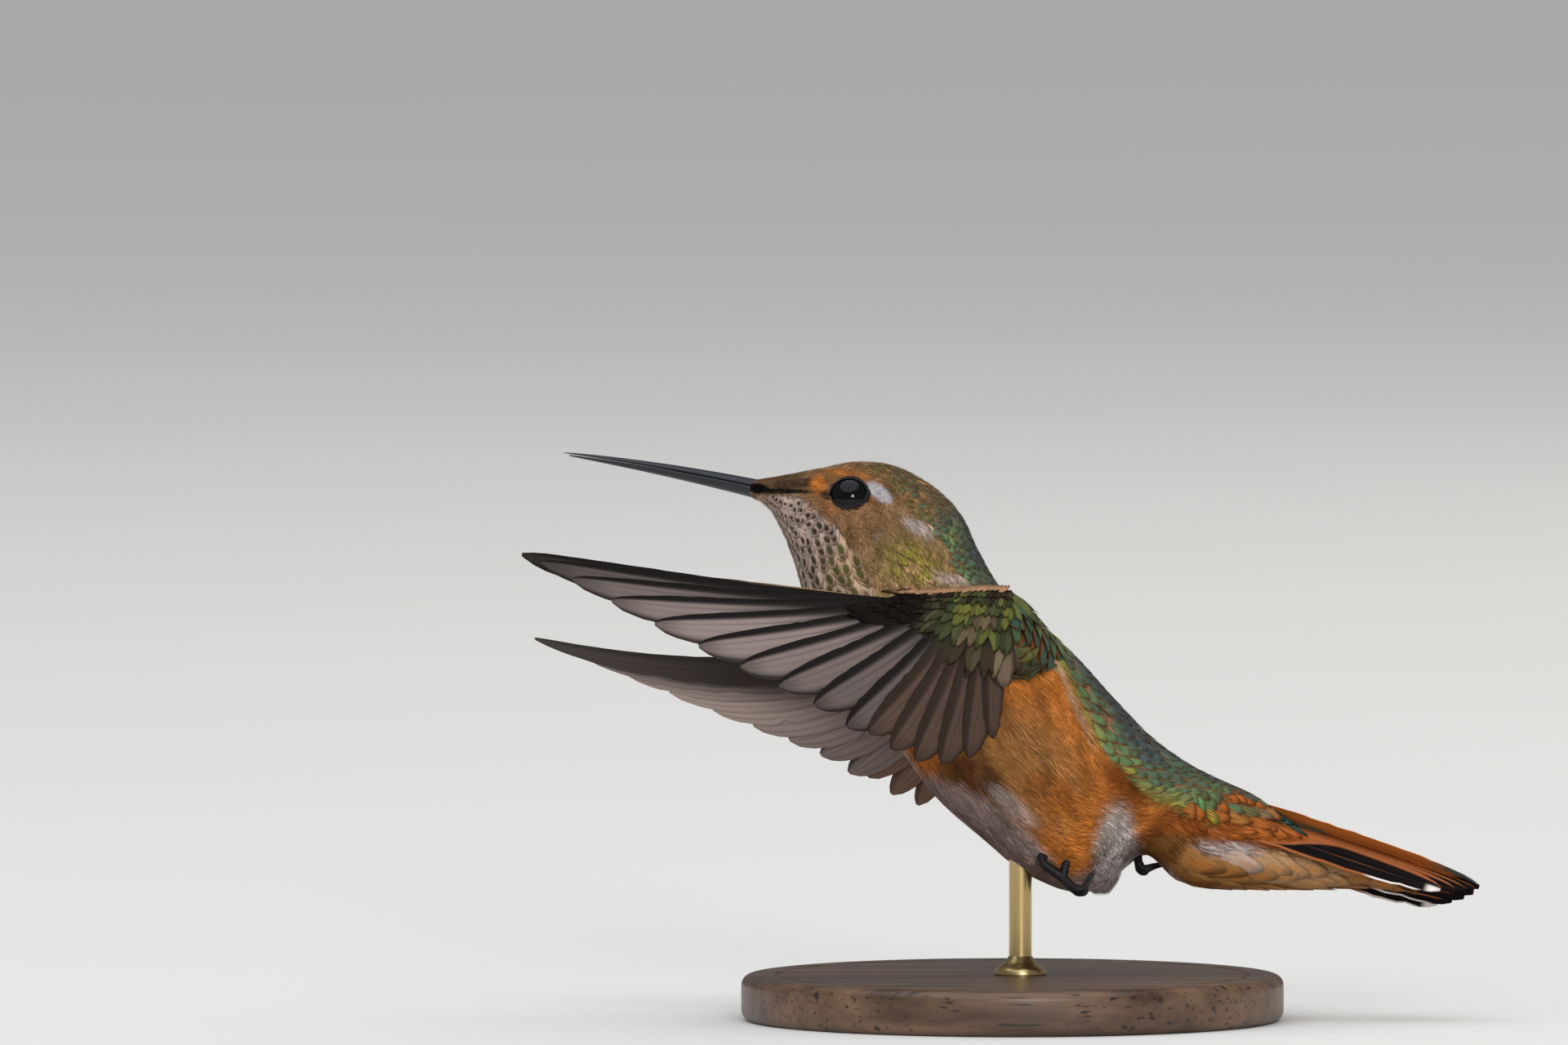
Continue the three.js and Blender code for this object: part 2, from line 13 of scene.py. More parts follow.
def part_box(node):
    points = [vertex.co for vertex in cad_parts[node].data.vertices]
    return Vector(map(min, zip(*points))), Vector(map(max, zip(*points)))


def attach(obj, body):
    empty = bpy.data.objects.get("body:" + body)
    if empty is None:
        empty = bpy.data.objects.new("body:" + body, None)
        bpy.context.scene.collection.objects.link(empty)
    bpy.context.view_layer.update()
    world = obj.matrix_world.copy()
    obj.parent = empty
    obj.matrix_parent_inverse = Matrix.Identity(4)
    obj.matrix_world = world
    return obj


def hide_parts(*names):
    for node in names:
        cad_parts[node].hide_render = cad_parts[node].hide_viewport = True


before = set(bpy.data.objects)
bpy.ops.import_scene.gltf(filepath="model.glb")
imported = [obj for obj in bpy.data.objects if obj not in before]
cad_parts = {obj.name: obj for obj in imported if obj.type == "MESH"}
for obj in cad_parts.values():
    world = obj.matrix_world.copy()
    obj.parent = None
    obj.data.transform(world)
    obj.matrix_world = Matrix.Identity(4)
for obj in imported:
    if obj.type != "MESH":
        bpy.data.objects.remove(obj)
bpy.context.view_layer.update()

# ---------------------------------------------------------------- driving sizes

MM = 0.001
DEG = math.pi / 180
BANK = 12.5 * DEG
PIVOT = (0.0, 2.5, 25.2)
SIDES = (("left", -1), ("right", 1))
COAT = 0.5                       # how deep the coat is over the skin
LIMB_COAT = 0.35                 # the same on the arms and thighs
PATCH = 0.003                    # size of one feather's place on the skin's unwrap

# The body's outline from bill base to covert tips: upper x, z, lower x, z, half the width, and how far
# up its section the widest point lies.
STATIONS = (
    (-22.7, 22.8, -23.3, 21.0, 1.5, 0.0),     # feathering round the bill
    (-20.0, 23.2, -21.7, 19.9, 2.7, -0.1),    # lores and chin
    (-17.0, 23.8, -20.4, 17.7, 4.2, -0.1),    # forehead
    (-13.8, 24.4, -19.5, 15.4, 5.3, 0.0),     # eyes
    (-10.2, 24.1, -18.8, 13.0, 5.9, 0.0),     # ears
    (-6.8, 22.3, -18.0, 10.4, 6.1, 0.05),     # back of the head
    (-4.3, 19.8, -16.8, 7.5, 6.2, 0.1),       # nape
    (-2.8, 16.6, -15.1, 4.5, 6.6, 0.1),       # neck
    (-0.9, 13.3, -13.0, 1.6, 7.3, 0.1),       # foot of the neck
    (2.3, 10.2, -10.2, -1.5, 7.9, 0.1),       # shoulders
    (5.9, 6.9, -6.8, -5.9, 8.2, 0.0),         # breast
    (9.2, 3.2, -2.9, -9.4, 8.1, -0.05),       # back
    (12.6, -0.3, 1.4, -12.8, 7.5, -0.1),      # belly
    (15.7, -2.6, 6.2, -14.2, 6.6, 0.0),       # flanks
    (18.7, -4.2, 11.2, -10.8, 5.7, 0.0),      # vent
    (21.6, -5.5, 14.6, -13.4, 4.9, 0.0),      # rump
    (25.0, -7.9, 21.6, -14.1, 3.9, 0.0),      # under tail coverts
    (29.0, -10.6, 28.4, -14.1, 2.8, 0.0),
    (32.6, -12.9, 32.6, -13.9, 1.2, 0.0),     # tips of the coverts
)
TOP_LINE = np.array([(x, half, z) for x, z, _, _, half, _ in STATIONS])
LOW_LINE = np.array([(x, rise, z) for _, _, x, z, _, rise in STATIONS])
LAST = len(STATIONS) - 1
SQUARE = 2.15

EYE = {
    "centre": (-14.25, 3.85, 20.3), "radius": 2.1, "axis": (-0.14, 1.0, 0.2),
    "opening": (1.62, 1.3), "slant": 0.03,
}

WING = {
    "shoulder": (0.9, 3.6, 5.9), "climb": 1.2 * DEG, "span": 41.0, "chord": 15.0,
    "camber": 0.9, "layer": 0.075, "dome": 0.1,
}
HELD = {
    -1: {"wrist": (-2.9, 11.2, 10.6), "sweep": 6 * DEG, "twist": (15 * DEG, 15 * DEG),
         "slope": 0.064, "out": 5.7, "up": 3.6, "fan": 1.0},
    1: {"wrist": (-2.9, 12.6, 13.0), "sweep": 12 * DEG, "twist": (20 * DEG, 62 * DEG),
        "slope": 0.36, "out": 1.5, "up": 13.4, "fan": 0.88},
}
PRIMARIES = {
    "count": 10, "root": ((6.6, 1.1), (0.6, 1.2)), "angle": (-1.9 * DEG, 47 * DEG), "angle_curve": 1.85,
    "longest": 33.8, "shortest": 16.8, "length_curve": 0.85,
    "lead": (1.1, 1.5), "trail": (2.3, 2.5), "sag": (0.0, 0.04),
}
SECONDARIES = {
    "count": 6, "root": ((0.4, 1.0), (-0.9, 2.6)), "angle": (53.5 * DEG, 89.5 * DEG),
    "longest": 16.2, "shortest": 12.0, "length_curve": 3,
    "lead": (1.6, 1.0), "trail": (2.2, 0.9), "sag": 0.06,
}
TERTIAL = {"root": (-1.2, 2.6), "angle": 94 * DEG, "length": 7.4, "lead": 1.5, "trail": 1.3}
ARM = (((-1.2, 2.7), 3.3, 1.9), ((2.6, 2.0), 2.3, 1.0), ((6.4, 1.2), 1.2, 0.7))
ARM_ROOT = (3.3, 3.7)

TAIL = {
    "base": (15.6, -5.0), "slope": 18.9 * DEG, "count": 5, "longest": 27.0, "shortest": 24.0,
    "length_curve": 1.6, "spread": (0.0, 4.5 * DEG), "drop": (0.0, 0.6 * DEG), "step": (0.5, 0.42),
    "offset": 0.2, "roll": (22 * DEG, 42 * DEG), "half": 1.9, "thick": 0.16,
}

LEGS = {
    -1: {"puff": (7.5, 3.0, -9.8), "shank": (2.5, 4.6, -12.0), "foot": (4.4, 4.6, -13.7), "aim": -50 * DEG},
    1: {"puff": (7.5, 3.0, -9.8), "shank": (10.4, 2.6, -9.4), "foot": (11.1, 2.2, -9.9), "aim": -94 * DEG},
}
PUFF = {"long": 3.7, "half": 2.6, "tilt": 6 * DEG, "ends": (0.06, 0.96), "plump": 0.7}

BILL = {
    "base": (-21.2, 21.55), "bend": (-30.4, 23.75), "tip": (-39.6, 25.05),
    "height": 0.86, "width": 1.15, "tip_height": 0.1, "taper": 0.75, "split": 0.06, "overhang": 0.5,
}

# ---------------------------------------------------------------- colours, linear

RUFOUS = (0.6, 0.18, 0.03)
ORANGE = (0.8, 0.29, 0.06)
RUSTY = (0.3, 0.12, 0.045)
BRICK = (0.36, 0.1, 0.02)
RUST_FRINGE = (0.24, 0.105, 0.045)
GOLD = (0.54, 0.27, 0.085)
CHESTNUT = (0.26, 0.08, 0.025)
OCHRE = (0.32, 0.125, 0.03)
TAWNY = (0.47, 0.28, 0.135)
GREEN = (0.1, 0.2, 0.085)
LIME = (0.34, 0.28, 0.03)
OLIVE = (0.11, 0.11, 0.035)
TEAL = (0.04, 0.1, 0.08)
SLATE = (0.035, 0.06, 0.08)
BROWN = (0.28, 0.155, 0.075)
UMBER = (0.07, 0.045, 0.03)
DUSK = (0.11, 0.075, 0.048)
BUFF = (0.5, 0.36, 0.24)
PALE = (0.56, 0.44, 0.4)
DOWN = (0.54, 0.45, 0.42)
WHITE = (0.68, 0.61, 0.58)
FROST = (0.64, 0.65, 0.72)
LILAC = (0.42, 0.3, 0.265)
SPOT = (0.03, 0.022, 0.011)
BLACK = (0.005, 0.0045, 0.005)
INK = (0.02, 0.022, 0.03)
RIM = (0.008, 0.009, 0.012)
VANE_DARK = (0.007, 0.005, 0.004)
VANE_PALE = (0.23, 0.178, 0.16)
VANE_BROWN = (0.022, 0.013, 0.009)
SHAFT = (0.012, 0.008, 0.007)

# ---------------------------------------------------------------- small helpers


def unit(vectors):
    return vectors / np.maximum(np.linalg.norm(vectors, axis=-1, keepdims=True), 1e-9)


def mix(ends, t):
    return ends[0] + (ends[1] - ends[0]) * t


def smooth(low, high, value):
    t = np.clip((np.asarray(value, float) - low) / (high - low), 0, 1)
    return t * t * (3 - 2 * t)


def blob(x, z, centre, radii, lean=0.0, soft=0.5):
    """1 inside an ellipse on the bird's side, falling to 0 outside it. lean turns its long axis up."""
    dx, dz = x - centre[0], z - centre[1]
    along = dx * math.cos(lean) + dz * math.sin(lean)
    across = dz * math.cos(lean) - dx * math.sin(lean)
    reach = np.sqrt((along / radii[0]) ** 2 + (across / radii[1]) ** 2)
    return 1 - smooth(1 - soft / 2, 1 + soft / 2, reach)


def turns(count, start=0.0):
    """Angles of count places evenly round a circle, the first one start places on from zero."""
    return (np.arange(count) + start) * 2 * math.pi / count


def ring_grid(first, last, rows, columns):
    """Rows of a tube from first to last, each with columns places round it."""
    return np.meshgrid(np.linspace(first, last, rows), turns(columns), indexing="ij")


def rows_of(colour, count):
    return np.tile(np.array(colour), (count, 1))


def dye(colours, colour, amount):
    """Moves each row of colours towards colour by that row's amount."""
    amount = np.asarray(amount, float)[:, None]
    return colours * (1 - amount) + np.asarray(colour) * amount


def to_world(points):
    x, y, z = np.moveaxis(np.asarray(points, float), -1, 0)
    cos, sin = math.cos(BANK), math.sin(BANK)
    leaned = np.stack([x + PIVOT[0], PIVOT[1] + y * cos + z * sin, PIVOT[2] - y * sin + z * cos], -1)
    return leaned * MM


def spline(points, t):
    """A centripetal Catmull-Rom curve at t, counted in points. It runs straight on past its ends."""
    points = np.asarray(points, float)
    padded = np.vstack([2 * points[0] - points[1], points, 2 * points[-1] - points[-2]])
    t = np.asarray(t, float)
    i = np.clip(np.floor(t).astype(int), 0, len(points) - 2)
    p0, p1, p2, p3 = (padded[i + k] for k in range(4))
    gaps = [np.sum((b - a) ** 2, -1, keepdims=True) ** 0.25 for a, b in ((p0, p1), (p1, p2), (p2, p3))]
    start = ((p1 - p0) / gaps[0] - (p2 - p0) / (gaps[0] + gaps[1])) * gaps[1] + (p2 - p1)
    end = ((p3 - p2) / gaps[2] - (p3 - p1) / (gaps[1] + gaps[2])) * gaps[1] + (p2 - p1)
    bend = -3 * p1 + 3 * p2 - 2 * start - end
    twist = 2 * p1 - 2 * p2 + start + end
    w = (t - i)[..., None]
    held = np.clip(w, 0, 1)
    inside = p1 + held * (start + held * (bend + held * twist))
    return inside + (w - held) * (start + held * (2 * bend + 3 * held * twist))


# ---------------------------------------------------------------- the surfaces that feathers lie on


class Surface:
    """A curved sheet: where(p, q) gives its points in millimetres. turn is 1 or -1, so that it faces out."""

    STEP = 1e-3

    def __init__(self, where):
        self.where = where
        self.turn = 1

    def frame(self, p, q):
        along = (self.where(p + self.STEP, q) - self.where(p - self.STEP, q)) / (2 * self.STEP)
        across = (self.where(p, q + self.STEP) - self.where(p, q - self.STEP)) / (2 * self.STEP)
        return self.where(p, q), along, across, unit(np.cross(along, across)) * self.turn

    def face(self, p, q, out):
        """Turns the sheet so that its normals at p, q go the way of out."""
        *_, normal = self.frame(p, q)
        self.turn = 1 if np.sum(normal * out, -1).mean() > 0 else -1


def surface_step(along, across, move):
    """How far p and q have to go for a move in the surface's own plane."""
    a, b = np.sum(move * along, -1), np.sum(move * across, -1)
    e, f, g = (np.sum(v * w, -1) for v, w in ((along, along), (along, across), (across, across)))
    spread = np.maximum(e * g - f * f, 1e-9)
    return (g * a - f * b) / spread, (e * b - f * a) / spread


def body_point(station, turn, grow=0.0):
    """A point of the body: turn is 0 at the ridge of the back and grows towards the bird's right."""
    top = spline(TOP_LINE, station)
    low = spline(LOW_LINE, station)
    half = np.maximum(top[..., 1] + grow, 0.15)
    rise = low[..., 1]
    middle = (top + low) / 2
    reach = (top - low) / 2
    middle[..., 1] = 0
    reach[..., 1] = 0
    length = np.linalg.norm(reach, axis=-1, keepdims=True)
    reach = reach * np.maximum(length + grow, 0.15) / length
    power = 2 / SQUARE
    up = np.sign(np.cos(turn)) * np.abs(np.cos(turn)) ** power
    out = np.sign(np.sin(turn)) * np.abs(np.sin(turn)) ** power
    point = middle + reach * (up + rise * (1 - up * up))[..., None]
    point[..., 1] = half * out
    return point


def wing_point(side, a, b, c):
    """A point of the wing: a from the wrist to the tip, b back from its leading edge, c off its back."""
    held = HELD[side]
    a, b, c = np.broadcast_arrays(*(np.asarray(x, float) for x in (a, b, c)))
    reach = np.maximum(a, 0)
    bend = (reach / WING["span"]) ** 2
    sweep = held["sweep"]
    along = unit(np.array([-math.cos(sweep), math.sin(sweep), math.sin(WING["climb"])]))
    down = unit(np.array([0, 0, -1.0]) + along * along[2])
    turn = -mix(held["twist"], reach / WING["span"])[..., None]
    back = down * np.cos(turn) + np.cross(along, down) * np.sin(turn)
    outer = np.cross(back, along)
    arch = WING["camber"] * (1 - (2 * b / WING["chord"] - 1) ** 2)
    point = np.array(held["wrist"]) + along * a[..., None] + back * b[..., None]
    point = point + outer * (c + arch)[..., None]
    point[..., 1] += held["out"] * bend
    point[..., 2] += held["up"] * bend - held["slope"] * reach
    point[..., 1] *= side
    return point


def tube_surface(knots, sizes, back):
    """A tube along knots. Its half breadth and half depth at each knot are sizes, and back is broad."""
    last = len(knots) - 1

    def where(t, turn):
        t, turn = np.broadcast_arrays(t, turn)
        centre = spline(knots, t * last)
        along = unit(spline(knots, t * last + 0.01) - spline(knots, t * last - 0.01))
        outer = unit(np.cross(np.broadcast_to(back, along.shape), along))
        wide = np.cross(along, outer)
        size = spline(sizes, t * last)
        return (centre + wide * (size[..., :1] * np.cos(turn)[..., None])
                + outer * (size[..., 1:2] * np.sin(turn)[..., None]))

    return where


def arm_surface(side, grow):
    knots = [np.array(WING["shoulder"]) * (1, side, 1)]
    knots += [wing_point(side, a, b, 0.0) for (a, b), _, _ in ARM]
    sizes = [np.array(ARM_ROOT) + grow] + [np.array((broad, deep)) + grow for _, broad, deep in ARM]
    back = unit(wing_point(side, 0, WING["chord"], 0) - wing_point(side, 0, 0, 0))
    return tube_surface(np.array(knots), np.array(sizes), back)


def puff_surface(side, grow):
    centre = np.array(LEGS[side]["puff"]) * (1, side, 1)
    lean = np.array([math.sin(PUFF["tilt"]), 0, -math.cos(PUFF["tilt"])])

    def where(t, turn):
        t, turn = np.broadcast_arrays(t, turn)
        swell = np.sin(math.pi * np.clip(mix(PUFF["ends"], t), 0.01, 0.99)) ** PUFF["plump"]
        radius = (PUFF["half"] + grow) * swell
        run = (2 * t - 1) * PUFF["long"]
        forward = np.array([math.cos(PUFF["tilt"]), 0, math.sin(PUFF["tilt"])])
        return (centre + lean * run[..., None] + forward * (radius * np.cos(turn))[..., None]
                + np.array([0, 1.0, 0]) * (radius * np.sin(turn))[..., None])

    return where


skin_surface = Surface(lambda s, turn: body_point(s, turn, -COAT))

# ---------------------------------------------------------------- meshes from arrays


def leaf_faces(rows, columns):
    """Faces of a closed leaf: a domed upper side of rows by columns, a flat underside and two ends."""
    wide = columns + 1
    top = [(i * wide + j, i * wide + j + 1, (i + 1) * wide + j + 1, (i + 1) * wide + j)
           for i in range(rows) for j in range(columns)]
    under = [(i * wide, (i + 1) * wide, (i + 1) * wide + columns, i * wide + columns) for i in range(rows)]
    ends = [tuple(reversed(range(wide))), tuple(rows * wide + j for j in range(wide))]
    return top, under + ends


def inside_out(points, faces):
    """True where a closed shape's faces point inwards, so that it encloses less than nothing."""
    fans = np.array([(f[0], f[k], f[k + 1]) for f in faces for k in range(1, len(f) - 1)])
    a, b, c = np.moveaxis((points - points.mean(0))[fans], 1, 0)
    return np.sum(a * np.cross(b, c)) < 0


class Heap:
    """Many small closed shapes gathered into one mesh. Undersides are unwrapped higher by lift."""

    def __init__(self, lift=0.0):
        self.lift = lift
        self.points, self.loops, self.totals, self.rounded = [], [], [], []
        self.vane, self.place, self.centre, self.edge, self.facts = [], [], [], [], []
        self.count = 0

    def add(self, points, faces, vane, place, centre, edge, disc=0.0, gleam=0.0, flip=False):
        """points, vane and place are (shapes, points, 3 or 2); the colours and facts are one per shape."""
        shapes, each = points.shape[:2]
        rounded, flat = faces
        listed = list(rounded) + list(flat)
        if flip:
            listed = [tuple(reversed(face)) for face in listed]
        loops = np.concatenate([np.array(face) for face in listed])
        starts = self.count + np.arange(shapes)[:, None] * each
        self.loops.append((loops[None, :] + starts).ravel())
        self.totals.append(np.tile([len(face) for face in listed], shapes))
        self.rounded.append(np.tile([True] * len(rounded) + [False] * len(flat), shapes))
        self.points.append(points.reshape(-1, 3))
        self.vane.append(np.broadcast_to(vane, (shapes, each, 2)).reshape(-1, 2))
        self.place.append(np.broadcast_to(place, (shapes, each, 2)).reshape(-1, 2))
        for held, value in ((self.centre, centre), (self.edge, edge)):
            value = np.asarray(value, float)
            value = value[:, None, :] if value.ndim == 2 else value
            held.append(np.broadcast_to(value, (shapes, each, 3)).reshape(-1, 3))
        facts = np.stack([np.broadcast_to(np.asarray(x, float), shapes) for x in (disc, gleam)], -1)
        self.facts.append(np.repeat(facts, each, axis=0))
        self.count += shapes * each

    def piece(self, name, material, slot, replaces=()):
        loops = np.concatenate(self.loops)
        totals = np.concatenate(self.totals)
        points = to_world(np.concatenate(self.points))
        mesh = bpy.data.meshes.new(name)
        mesh.vertices.add(len(points))
        mesh.vertices.foreach_set("co", points.astype(np.float32).ravel())
        mesh.loops.add(len(loops))
        mesh.loops.foreach_set("vertex_index", loops.astype(np.int32))
        mesh.polygons.add(len(totals))
        starts = np.concatenate([[0], np.cumsum(totals)[:-1]])
        mesh.polygons.foreach_set("loop_start", starts.astype(np.int32))
        mesh.polygons.foreach_set("use_smooth", np.concatenate(self.rounded))
        mesh.update(calc_edges=True)
        under = np.repeat(~np.concatenate(self.rounded), totals)[:, None]
        for label, values, shift in (("vane", self.vane, (2, 0)), ("OFBake", self.place, (0, self.lift))):
            layer = mesh.uv_layers.new(name=label)
            flat = np.concatenate(values)[loops] + under * np.array(shift)
            layer.data.foreach_set("uv", flat.astype(np.float32).ravel())
        for label, values in (("centre", self.centre), ("edge", self.edge)):
            rgba = np.ones((self.count, 4), np.float32)
            rgba[:, :3] = np.concatenate(values)
            mesh.attributes.new(label, "FLOAT_COLOR", "POINT").data.foreach_set("color", rgba.ravel())
        facts = np.concatenate(self.facts).astype(np.float32)
        for k, label in enumerate(("disc", "gleam")):
            values = np.ascontiguousarray(facts[:, k])
            mesh.attributes.new(label, "FLOAT", "POINT").data.foreach_set("value", values)
        return settle(name, mesh, material, replaces)


def settle(name, mesh, material, replaces=()):
    """Puts a finished mesh in the scene as a piece of the model."""
    mesh.materials.clear()
    mesh.materials.append(material)
    thing = bpy.data.objects.new(name, mesh)
    bpy.context.scene.collection.objects.link(thing)
    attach(thing, "root")
    if replaces:
        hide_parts(*replaces)
    return thing


def grid_faces(rows, columns):
    """Faces of a closed tube of rows rings by columns points, with a fan's middle point at each end."""
    faces = []
    for i in range(rows - 1):
        for j in range(columns):
            k = (j + 1) % columns
            faces.append((i * columns + j, i * columns + k, (i + 1) * columns + k, (i + 1) * columns + j))
    first, last = rows * columns, rows * columns + 1
    faces += [(first, (j + 1) % columns, j) for j in range(columns)]
    top = (rows - 1) * columns
    faces += [(last, top + j, top + (j + 1) % columns) for j in range(columns)]
    return faces


def tube_points(rings):
    """Rings of points (rows, columns, 3) with the middle of each end added, ready for grid_faces."""
    return np.vstack([rings.reshape(-1, 3), rings[0].mean(0), rings[-1].mean(0)])


def add_tube(heap, rings, colour, place=(0.0, 1.0, 0.0, 1.0)):
    """Adds a closed tube to a heap, unwrapped into the box place: left, right, bottom, top."""
    rows, columns = rings.shape[:2]
    points = tube_points(rings)
    faces = grid_faces(rows, columns)
    v, u = np.meshgrid(np.linspace(0, 1, rows), np.arange(columns) / columns, indexing="ij")
    flat = np.stack([u.ravel(), v.ravel()], -1)
    flat = np.vstack([flat, [[0.5, 0.0], [0.5, 1.0]]])
    left, right, bottom, top = place
    spot = np.stack([left + (right - left) * flat[:, 0], bottom + (top - bottom) * flat[:, 1]], -1)
    colours = np.broadcast_to(np.asarray(colour, float), (1, len(points), 3))
    flip = inside_out(points, faces)
    heap.add(points[None], (faces, []), flat[None], spot[None], colours, colours, flip=flip)


# ---------------------------------------------------------------- feathers laid on a surface


def vane_width(v, quill=0.4, full=0.45, round_from=0.5, end=0.1):
    past = np.clip((v - round_from) / (1 - round_from), 0, 1)
    return mix((quill, 1), smooth(0, full, v)) * np.maximum(np.sqrt(1 - past ** 2), end)


def leaf_grid(rows, columns):
    """A small feather's points, as how far along and how far to the side they are, and its faces."""
    v, u = np.meshgrid(np.linspace(0, 1, rows + 1), np.linspace(-1, 1, columns + 1), indexing="ij")
    return v.ravel(), u.ravel(), leaf_faces(rows, columns)


def strand_grid(rows):
    """The same for a closed three-sided strand that ends in a point."""
    v = np.append(np.repeat(np.arange(rows) / rows, 3), 1.0)
    u = np.append(np.tile([-1.0, 0.0, 1.0], rows), 0.0)
    tip = 3 * rows
    top, under = [], [(2, 1, 0)]
    for low in range(0, tip - 3, 3):
        top += [(low + j, low + j + 1, low + j + 4, low + j + 3) for j in (0, 1)]
        under.append((low, low + 3, low + 5, low + 2))
    top += [(tip - 3, tip - 2, tip), (tip - 2, tip - 1, tip)]
    under.append((tip - 3, tip, tip - 1))
    return v, u, (top, under)


def feathers(p, q, **facts):
    """Facts for lay: an array for each, where a bare number holds for every feather."""
    return {"p": p, "q": q} | {key: np.full(len(p), value) if np.ndim(value) == 0 else value
                               for key, value in facts.items()}


def lay(heap, surface, roots, grid, rng, wrap=(2 * math.pi, LAST)):
    """Lays one closed leaf on the surface at each root. roots holds arrays: p, q, aim (x, y, z), length,
    half, low and high (how far root and tip stand off the skin), dome, fray, centre, edge, disc, gleam."""
    v, u, faces = grid
    n, each = len(roots["p"]), len(v)
    if n == 0:
        return
    _, along, across, normal = surface.frame(roots["p"], roots["q"])
    aim = roots["aim"]
    lie = unit(aim - np.sum(aim * normal, -1, keepdims=True) * normal)
    side = np.cross(lie, normal)
    ragged = roots["fray"][:, None] * rng.uniform(-1, 1, size=(n, each)) * (v > 0.99)
    breadth = mix((0.4, 1), smooth(0, 0.45, v)) * (1 - 0.24 * smooth(0.6, 1, v))
    far = v * (1 - 0.36 * np.abs(u) ** 2.2 * v ** 1.5) + ragged
    reach = roots["length"][:, None] * far
    bow = roots["half"][:, None] * (u * breadth)
    sway = roots["sway"][:, None] * roots["length"][:, None] * v * v
    move = lie[:, None] * reach[..., None] + side[:, None] * (bow + sway)[..., None]
    dp, dq = surface_step(along[:, None], across[:, None], move)
    where, _, _, out = surface.frame(roots["p"][:, None] + dp, roots["q"][:, None] + dq)
    height = roots["low"][:, None] + (roots["high"] - roots["low"])[:, None] * far
    height = height + roots["dome"][:, None] * roots["half"][:, None] * (1 - u * u) * breadth
    points = where + out * height[..., None]
    vane = np.stack([u / 2 + 0.5, v], -1)[None]
    home = np.stack([(roots["q"] / wrap[0]) % 1.0, roots["p"] / wrap[1]], -1)
    place = home[:, None] * (1 - 2 * PATCH) + PATCH * (0.5 + vane)
    heap.add(points, faces, vane, place, roots["centre"], roots["edge"], roots["disc"], roots["gleam"])


# ---------------------------------------------------------------- the coat's markings

# Lines on the bird's side, as (x, rise): green lies above the first, spots below the second, the pale
# belly below the third and the under tail coverts below the fourth. Rise is height with the side
# leaning a little, as it does on the stand.
GREEN_EDGE = (
    (-24.5, 22.7), (-22.7, 22.1), (-20.1, 22.2), (-17.3, 23.1), (-15.1, 23.6), (-13.3, 23.2), (-11.9, 22.8),
    (-10.8, 22.3), (-10.1, 21.4), (-9.2, 20.5), (-8.6, 19.5), (-7.2, 18.5), (-6.3, 17.4), (-5.0, 15.9),
    (-4.0, 14.1), (-2.0, 12.7), (0.7, 11.0), (3.2, 9.8), (4.3, 7.1), (5.6, 3.5), (6.9, 0.7), (8.1, -1.8),
    (9.7, -3.1), (10.6, -4.6), (12.5, -6.1), (14.8, -6.8), (19.6, -7.2), (21.5, -7.6), (33.1, -8.3),
)
THROAT_EDGE = (
    (-24.8, 20.8), (-22.3, 21.0), (-20.0, 21.0), (-17.6, 20.3), (-16.2, 19.2), (-15.1, 17.9), (-14.4, 16.4),
    (-13.7, 15.4), (-12.9, 13.8), (-10.8, 10.0), (-8.0, 4.0),
)
BELLY_EDGE = (
    (-14.0, 9.0), (-11.5, 1.3), (-8.3, -3.7), (-4.3, -5.0), (-1.1, -6.6), (1.3, -8.9), (3.2, -11.3),
    (4.5, -13.8), (5.0, -16.0),
)
UNDER_EDGE = ((10.4, -8.0), (11.5, -8.4), (15.5, -9.1), (18.7, -9.5), (24.5, -10.2), (33.1, -11.6))
LEAN = 10 * DEG


def line_at(x, line):
    return np.interp(x, *np.transpose(line))


def side_view(station, turn):
    """Where points of the coat lie on the bird's side: x and rise."""
    x, y, z = np.moveaxis(body_point(station, turn), -1, 0)
    return x, z * math.cos(LEAN) + np.abs(y) * math.sin(LEAN)


def ripple(p, q, seed, fine=1.0):
    """A smooth random field over the coat, from about -1 to 1."""
    rng = np.random.default_rng(seed)
    total = np.zeros(np.shape(p))
    for _ in range(6):
        rate = fine * rng.normal(size=2) * (2.2, 3.0)
        total = total + np.sin(rate[0] * p + np.round(rate[1]) * q + rng.uniform(0, 2 * math.pi))
    return total / 2.6


